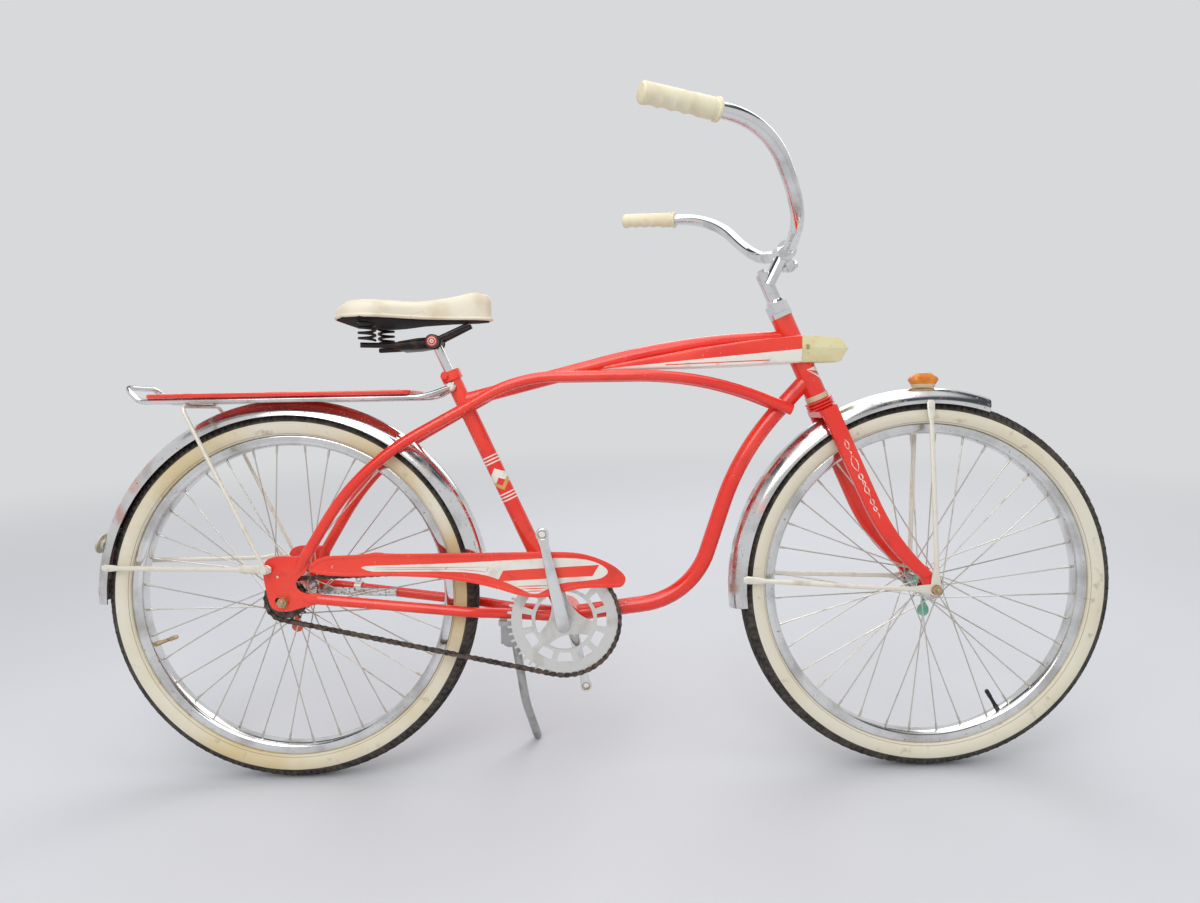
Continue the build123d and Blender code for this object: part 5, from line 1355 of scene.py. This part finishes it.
cream_vinyl, place = new_finish("cream_vinyl", {"IOR": 1.46})
vinyl_dirt = patches(place, 20.0, 0.48, 0.76)
crazing = place.node("ShaderNodeTexVoronoi", {"feature": "DISTANCE_TO_EDGE"}, {
    "Vector": place, "Scale": 26.0})
uncracked = crazing.node("ShaderNodeMapRange", {}, {"Value": crazing, "From Min": 0.0, "From Max": 0.03})
cracked = (1.0 - uncracked) * patches(place, 9.0, 0.55, 0.66)
pebbles = cells(place, 620.0)
vinyl_colour = mixed(vinyl_dirt * 0.45, ink(226, 217, 196), ink(188, 164, 122))
lay_on(cream_vinyl, {
    "Base Color": mixed(cracked * 0.75, vinyl_colour, ink(110, 88, 62)),
    "Roughness": 0.42 + vinyl_dirt * 0.2 + pebbles * 0.1,
    "Normal": raised(pebbles * 0.4 - cracked, 0.22, 0.0006),
})
black_steel = worn_finish(
    "black_steel", {"IOR": 1.6}, (50.0, 0.52, 0.72), 0.7, ink(32, 31, 31), ink(112, 84, 62), (0.42, 0.25),
    (0.5, 0.2))
# The pan is near black and barely shines: partly its own black steel, partly painted shade under the saddle.
pan_black_and_shade = worn_finish(
    "pan_black_and_shade", {"IOR": 1.4, "Specular IOR Level": 0.2}, (38.0, 0.5, 0.74), 0.5, ink(20, 19, 19),
    ink(66, 56, 48), (0.75, 0.15))
cap_paint, place = new_finish("cap_paint", {"IOR": 1.5})
cap_radius = from_axle(place, clamp_middle)
cap_wear = patches(place, 150.0, 0.46, 0.66)
cap_colour = ink(190, 44, 36)
for low, high, paint in cap_rings:
    cap_colour = mixed(within(cap_radius, low, high), cap_colour, paint)
lay_on(cap_paint, {
    "Base Color": mixed(cap_wear * 0.35, cap_colour, ink(120, 82, 66)),
    "Roughness": 0.32 + cap_wear * 0.3,
})
paint_nodes(black_steel, "saddle_rails", "saddle_clamp")
paint_nodes(pan_black_and_shade, "saddle_pan")
paint_nodes(bright_chrome, "seat_post")
saddle_rear, saddle_front = saddle_tops[0][0], saddle_tops[-1][0]
rings_of_saddle, welt_right, welt_left = [], [], []
for station in range(saddle_stations + 1):
    share = station / saddle_stations
    x = saddle_rear + (saddle_front - saddle_rear) * (0.5 - 0.5 * math.cos(math.pi * share))
    top = smoothed(saddle_tops, x, top_spread)
    half = smoothed(saddle_halves, x, half_spread) - welt_radius
    groove = groove_depth * math.sin(math.pi * share) ** 2 if half > groove_least_half else 0.0
    points = []
    for step in range(saddle_arcs + 1):
        angle = math.pi * step / saddle_arcs
        cosine, sine = math.cos(angle), max(0.0, math.sin(angle))
        y = half * math.copysign(abs(cosine) ** side_fullness, cosine)
        dip = groove * max(0.0, 1 - (y / max(half, 1.0)) ** 2 * groove_narrowness)
        points.append(Vector((x, y, saddle_low + (top - saddle_low) * sine**crown_fullness - dip)))
    rings_of_saddle.append(points)
    welt_right.append((Vector((x, -half, saddle_low)), welt_radius))
    welt_left.append((Vector((x, half, saddle_low)), welt_radius))
cover = loft(rings_of_saddle, 60.0)
saddle = fitted("saddle_cover_stuffed", cover, "frame", cream_vinyl, "saddle_cover")
welt_line = welt_right + welt_left[::-1] + welt_right[:1]
fitted("saddle_welt", wires([welt_line]), "frame", cream_vinyl)
rings_of_bridge = []
for x, half, low, high in bridge_rows:
    corners = ((half, low), (half, high), (-half, high), (-half, low))
    rings_of_bridge.append([Vector((x, y, z)) for y, z in corners])
fitted("saddle_bridge", loft(rings_of_bridge, edge=bridge_edge), "frame", black_steel)
spring_lines = []
for side in (1, -1):
    coil = []
    for step in range(spring_steps + 1):
        share = step / spring_steps
        out = pointing(360 * spring_turns * share) * spring_radius
        rise = spring_low + spring_wire + (spring_high - spring_low - 2 * spring_wire) * share
        coil.append((Vector((spring_x + out.x, side * (spring_y + out.z), rise)), spring_wire))
    spring_lines.append(coil)
fitted("saddle_springs_coiled", wires(spring_lines), "frame", black_steel, "saddle_springs")
clamp_caps = turned_pair(clamp_cap, both_sides(clamp_middle.x, cap_y, clamp_middle.z), 32)
fitted("saddle_clamp_caps", clamp_caps, "frame", cap_paint)
fitted("seat_clamp_bolts", heads(collar_bolts, collar_bolt), "frame", frame_paint)

# Reflectors: a faceted amber lens on a cream foot, on top of the front fender, and a round clear dome with a
# flared rim on the tail of the rear one, both moulded. Each is bolted through its fender.
amber_sections = [
    # height above the fender, half length, half width
    (0.4, 18.6, 9.0), (5.0, 20.0, 11.5), (7.0, 21.5, 12.0), (14.0, 25.8, 12.8), (18.0, 24.0, 12.0),
    (25.6, 13.0, 8.0),
]
amber_corners = [
    # shares of the half length and of the half width
    (1.0, 0.45), (0.62, 1.0), (-0.62, 1.0), (-1.0, 0.45), (-1.0, -0.45), (-0.62, -1.0), (0.62, -1.0),
    (1.0, -0.45),
]
amber_foot_height, amber_crease, amber_edge = 6.4, 20.0, 0.7
tail_out, dome_lift = pointing(164.0), 0.3
dome_outline = [(0.0, 0.2), (10.5, 0.2), (10.5, 5.6), (17.6, 6.2), (18.6, 7.4), (18.0, 9.0), (16.0, 11.2),
                (12.0, 13.4), (7.0, 14.5), (0.0, 14.9)]


def dome_facets(place):
    """The small facets moulded into the dome."""
    return raised(cells(place, 300.0), 0.3, 0.0008)


amber_lens, place = new_finish("amber_lens", {
    "IOR": 1.49, "Transmission Weight": 0.25, "Coat Roughness": 0.05})
amber_depth = patches(place, 60.0, 0.36, 0.66)
amber_foot = along(place, upward * (fender_radius + amber_foot_height), upward) < 0.0
amber_colour = mixed(amber_depth, ink(238, 150, 48), ink(222, 116, 34))
lay_on(amber_lens, {
    "Base Color": mixed(amber_foot, amber_colour, ink(226, 214, 178)),
    "Roughness": 0.16 + amber_depth * 0.1 + amber_foot * 0.25,
    "Normal": raised(cells(place, 260.0) * (1.0 - amber_foot), 0.3, 0.0008),
})
clear_lens = worn_finish(
    "clear_lens", {"IOR": 1.49, "Transmission Weight": 0.15}, (50.0, 0.38, 0.68), 1.0, ink(224, 220, 208),
    ink(196, 186, 162), (0.14, 0.2), relief=dome_facets)
rings_of_amber = []
for height, length, width in amber_sections:
    middle = forward * wheelbase + upward * (fender_radius + height)
    rings_of_amber.append([middle + Vector((length * u, width * v, 0)) for u, v in amber_corners])
amber = loft(rings_of_amber, amber_crease, amber_edge)
fitted("front_reflector_lens", amber, "steering", amber_lens, "front_reflector")
dome = turned_on(dome_outline, tail_out * (fender_radius + dome_lift), tail_out, 36)
fitted("rear_reflector_dome", dome, "frame", clear_lens, "rear_reflector")

# Side stand: a cast alloy bracket bolted under the chainstays, and a bent steel leg that swings on its pin.
# The leg is painted dull silver and, like the bracket, worn in blotches.
stand_pivot, stand_axis = drawn("stand_fold")
pin_reach, pin_size = 17.0, {"Across": 7.0, "Height": 4.0, "Washer": 8.4}


def cast_grain(place):
    """The grain of a casting."""
    return raised(grain(place, 260.0, 3.0), 0.15, 0.0008)


cast_alloy = worn_finish(
    "cast_alloy", {"IOR": 1.9}, (44.0, 0.46, 0.74), 0.6, ink(178, 178, 176), ink(112, 100, 86), (0.44, 0.22),
    (0.8, -0.4), relief=cast_grain)
paint_nodes(cast_alloy, "stand_leg", "stand_bracket")
pin_head = heads([(stand_pivot + stand_axis * pin_reach, stand_axis)], pin_size)
fitted("stand_pin_head", pin_head, "frame", cast_alloy)

# Camera: a short lens held low on the chain side, where it was fitted to the two wheels of the photograph.
# It leans with the parked bicycle, and so sees it upright.
eye = Vector((0.5515, -1.4256, 0.3155))
tip_up, swing = math.radians(2.75), math.radians(-1.06)
lens = bpy.data.cameras.new("photo_camera")
lens.sensor_width = 36.0
lens.lens = 24.0
camera = bpy.data.objects.new("photo_camera", lens)
bpy.context.scene.collection.objects.link(camera)
bpy.context.scene.camera = camera
level = Matrix(((1, 0, 0), (0, 0, -1), (0, 1, 0)))
turn = Vector((tip_up, 0, swing))
view = Matrix.Rotation(turn.length, 3, turn.normalized()) @ level
axes = Matrix((view[0], -view[1], -view[2])).transposed().to_4x4()
axes.translation = eye
camera.matrix_world = parked @ axes

# Studio: a plain pale floor that runs out into the pale edge of the sky, under three wide and soft lamps.
# The sky has a darker belt above its edge, so that the chrome has something to show.
floor_pale, floor_mottle, horizon = ink(210, 211, 214), ink(200, 201, 205), ink(216, 217, 219)
sky_belt, sky_top, no_light = ink(74, 78, 84), ink(238, 240, 244), ink(0, 0, 0)
floor_reach, fade_start, fade_end = 9.0, 1.3, 4.6
lamps = [
    # name, place, size, watts, turn in degrees
    ("lamp_chain_side", (-0.8, -2.6, 3.0), 2.4, 62.0, (42.0, 0.0, -14.0)),
    ("lamp_far_side", (1.0, 2.6, 2.8), 2.4, 40.0, (-44.0, 0.0, -12.0)),
    ("lamp_overhead", (0.0, 0.0, 3.4), 3.0, 34.0, (0.0, 0.0, 0.0)),
]
floor_mesh = bpy.data.meshes.new("floor")
floor_corners = [(x * floor_reach, y * floor_reach, 0) for x, y in ((-1, -1), (1, -1), (1, 1), (-1, 1))]
floor_mesh.from_pydata(floor_corners, [], [(0, 1, 2, 3)])
floor = bpy.data.objects.new("floor", floor_mesh)
bpy.context.scene.collection.objects.link(floor)
floor_paint = bpy.data.materials.new("floor_paint")
floor_paint.use_nodes = True
floor_shader = floor_paint.node_tree.nodes["Principled BSDF"]
floor_shader.inputs["Roughness"].default_value = 0.7
floor_shader.inputs["Specular IOR Level"].default_value = 0.0
floor_shader.inputs["Emission Strength"].default_value = 1.0
floor_place = Wire(floor_paint.node_tree.nodes.new("ShaderNodeTexCoord").outputs["Object"])
distance = floor_place.node("ShaderNodeVectorMath", {"operation": "LENGTH"}, {0: floor_place}, 1)
fade = rising(distance, fade_start, fade_end)
floor_near = mixed(patches(floor_place, 0.6, 0.3, 0.7) * 0.3, floor_pale, floor_mottle)
lay_on(floor_paint, {
    "Base Color": mixed(fade, floor_near, no_light),
    "Emission Color": mixed(fade, no_light, horizon),
})
floor_mesh.materials.append(floor_paint)
world = bpy.data.worlds.new("studio")
bpy.context.scene.world = world
world.use_nodes = True
sky = Wire(world.node_tree.nodes.new("ShaderNodeTexCoord").outputs["Generated"])
sky_height = sky.node("ShaderNodeSeparateXYZ", {}, {0: sky}, 2)
sky_colour = horizon
for low, high, colour in ((0.53, 0.64, sky_belt), (0.76, 0.90, sky_top)):
    sky_colour = mixed(rising(sky_height, low, high), sky_colour, colour)
background = world.node_tree.nodes["Background"]
world.node_tree.links.new(sky_colour.socket, background.inputs["Color"])
background.inputs["Strength"].default_value = 1.0
for name, spot, size, watts, turns in lamps:
    lamp_data = bpy.data.lights.new(name, "AREA")
    lamp_data.energy = watts
    lamp_data.size = size
    lamp_object = bpy.data.objects.new(name, lamp_data)
    lamp_object.location = spot
    lamp_object.rotation_euler = [math.radians(value) for value in turns]
    bpy.context.scene.collection.objects.link(lamp_object)
bpy.context.scene.view_settings.view_transform = "Standard"
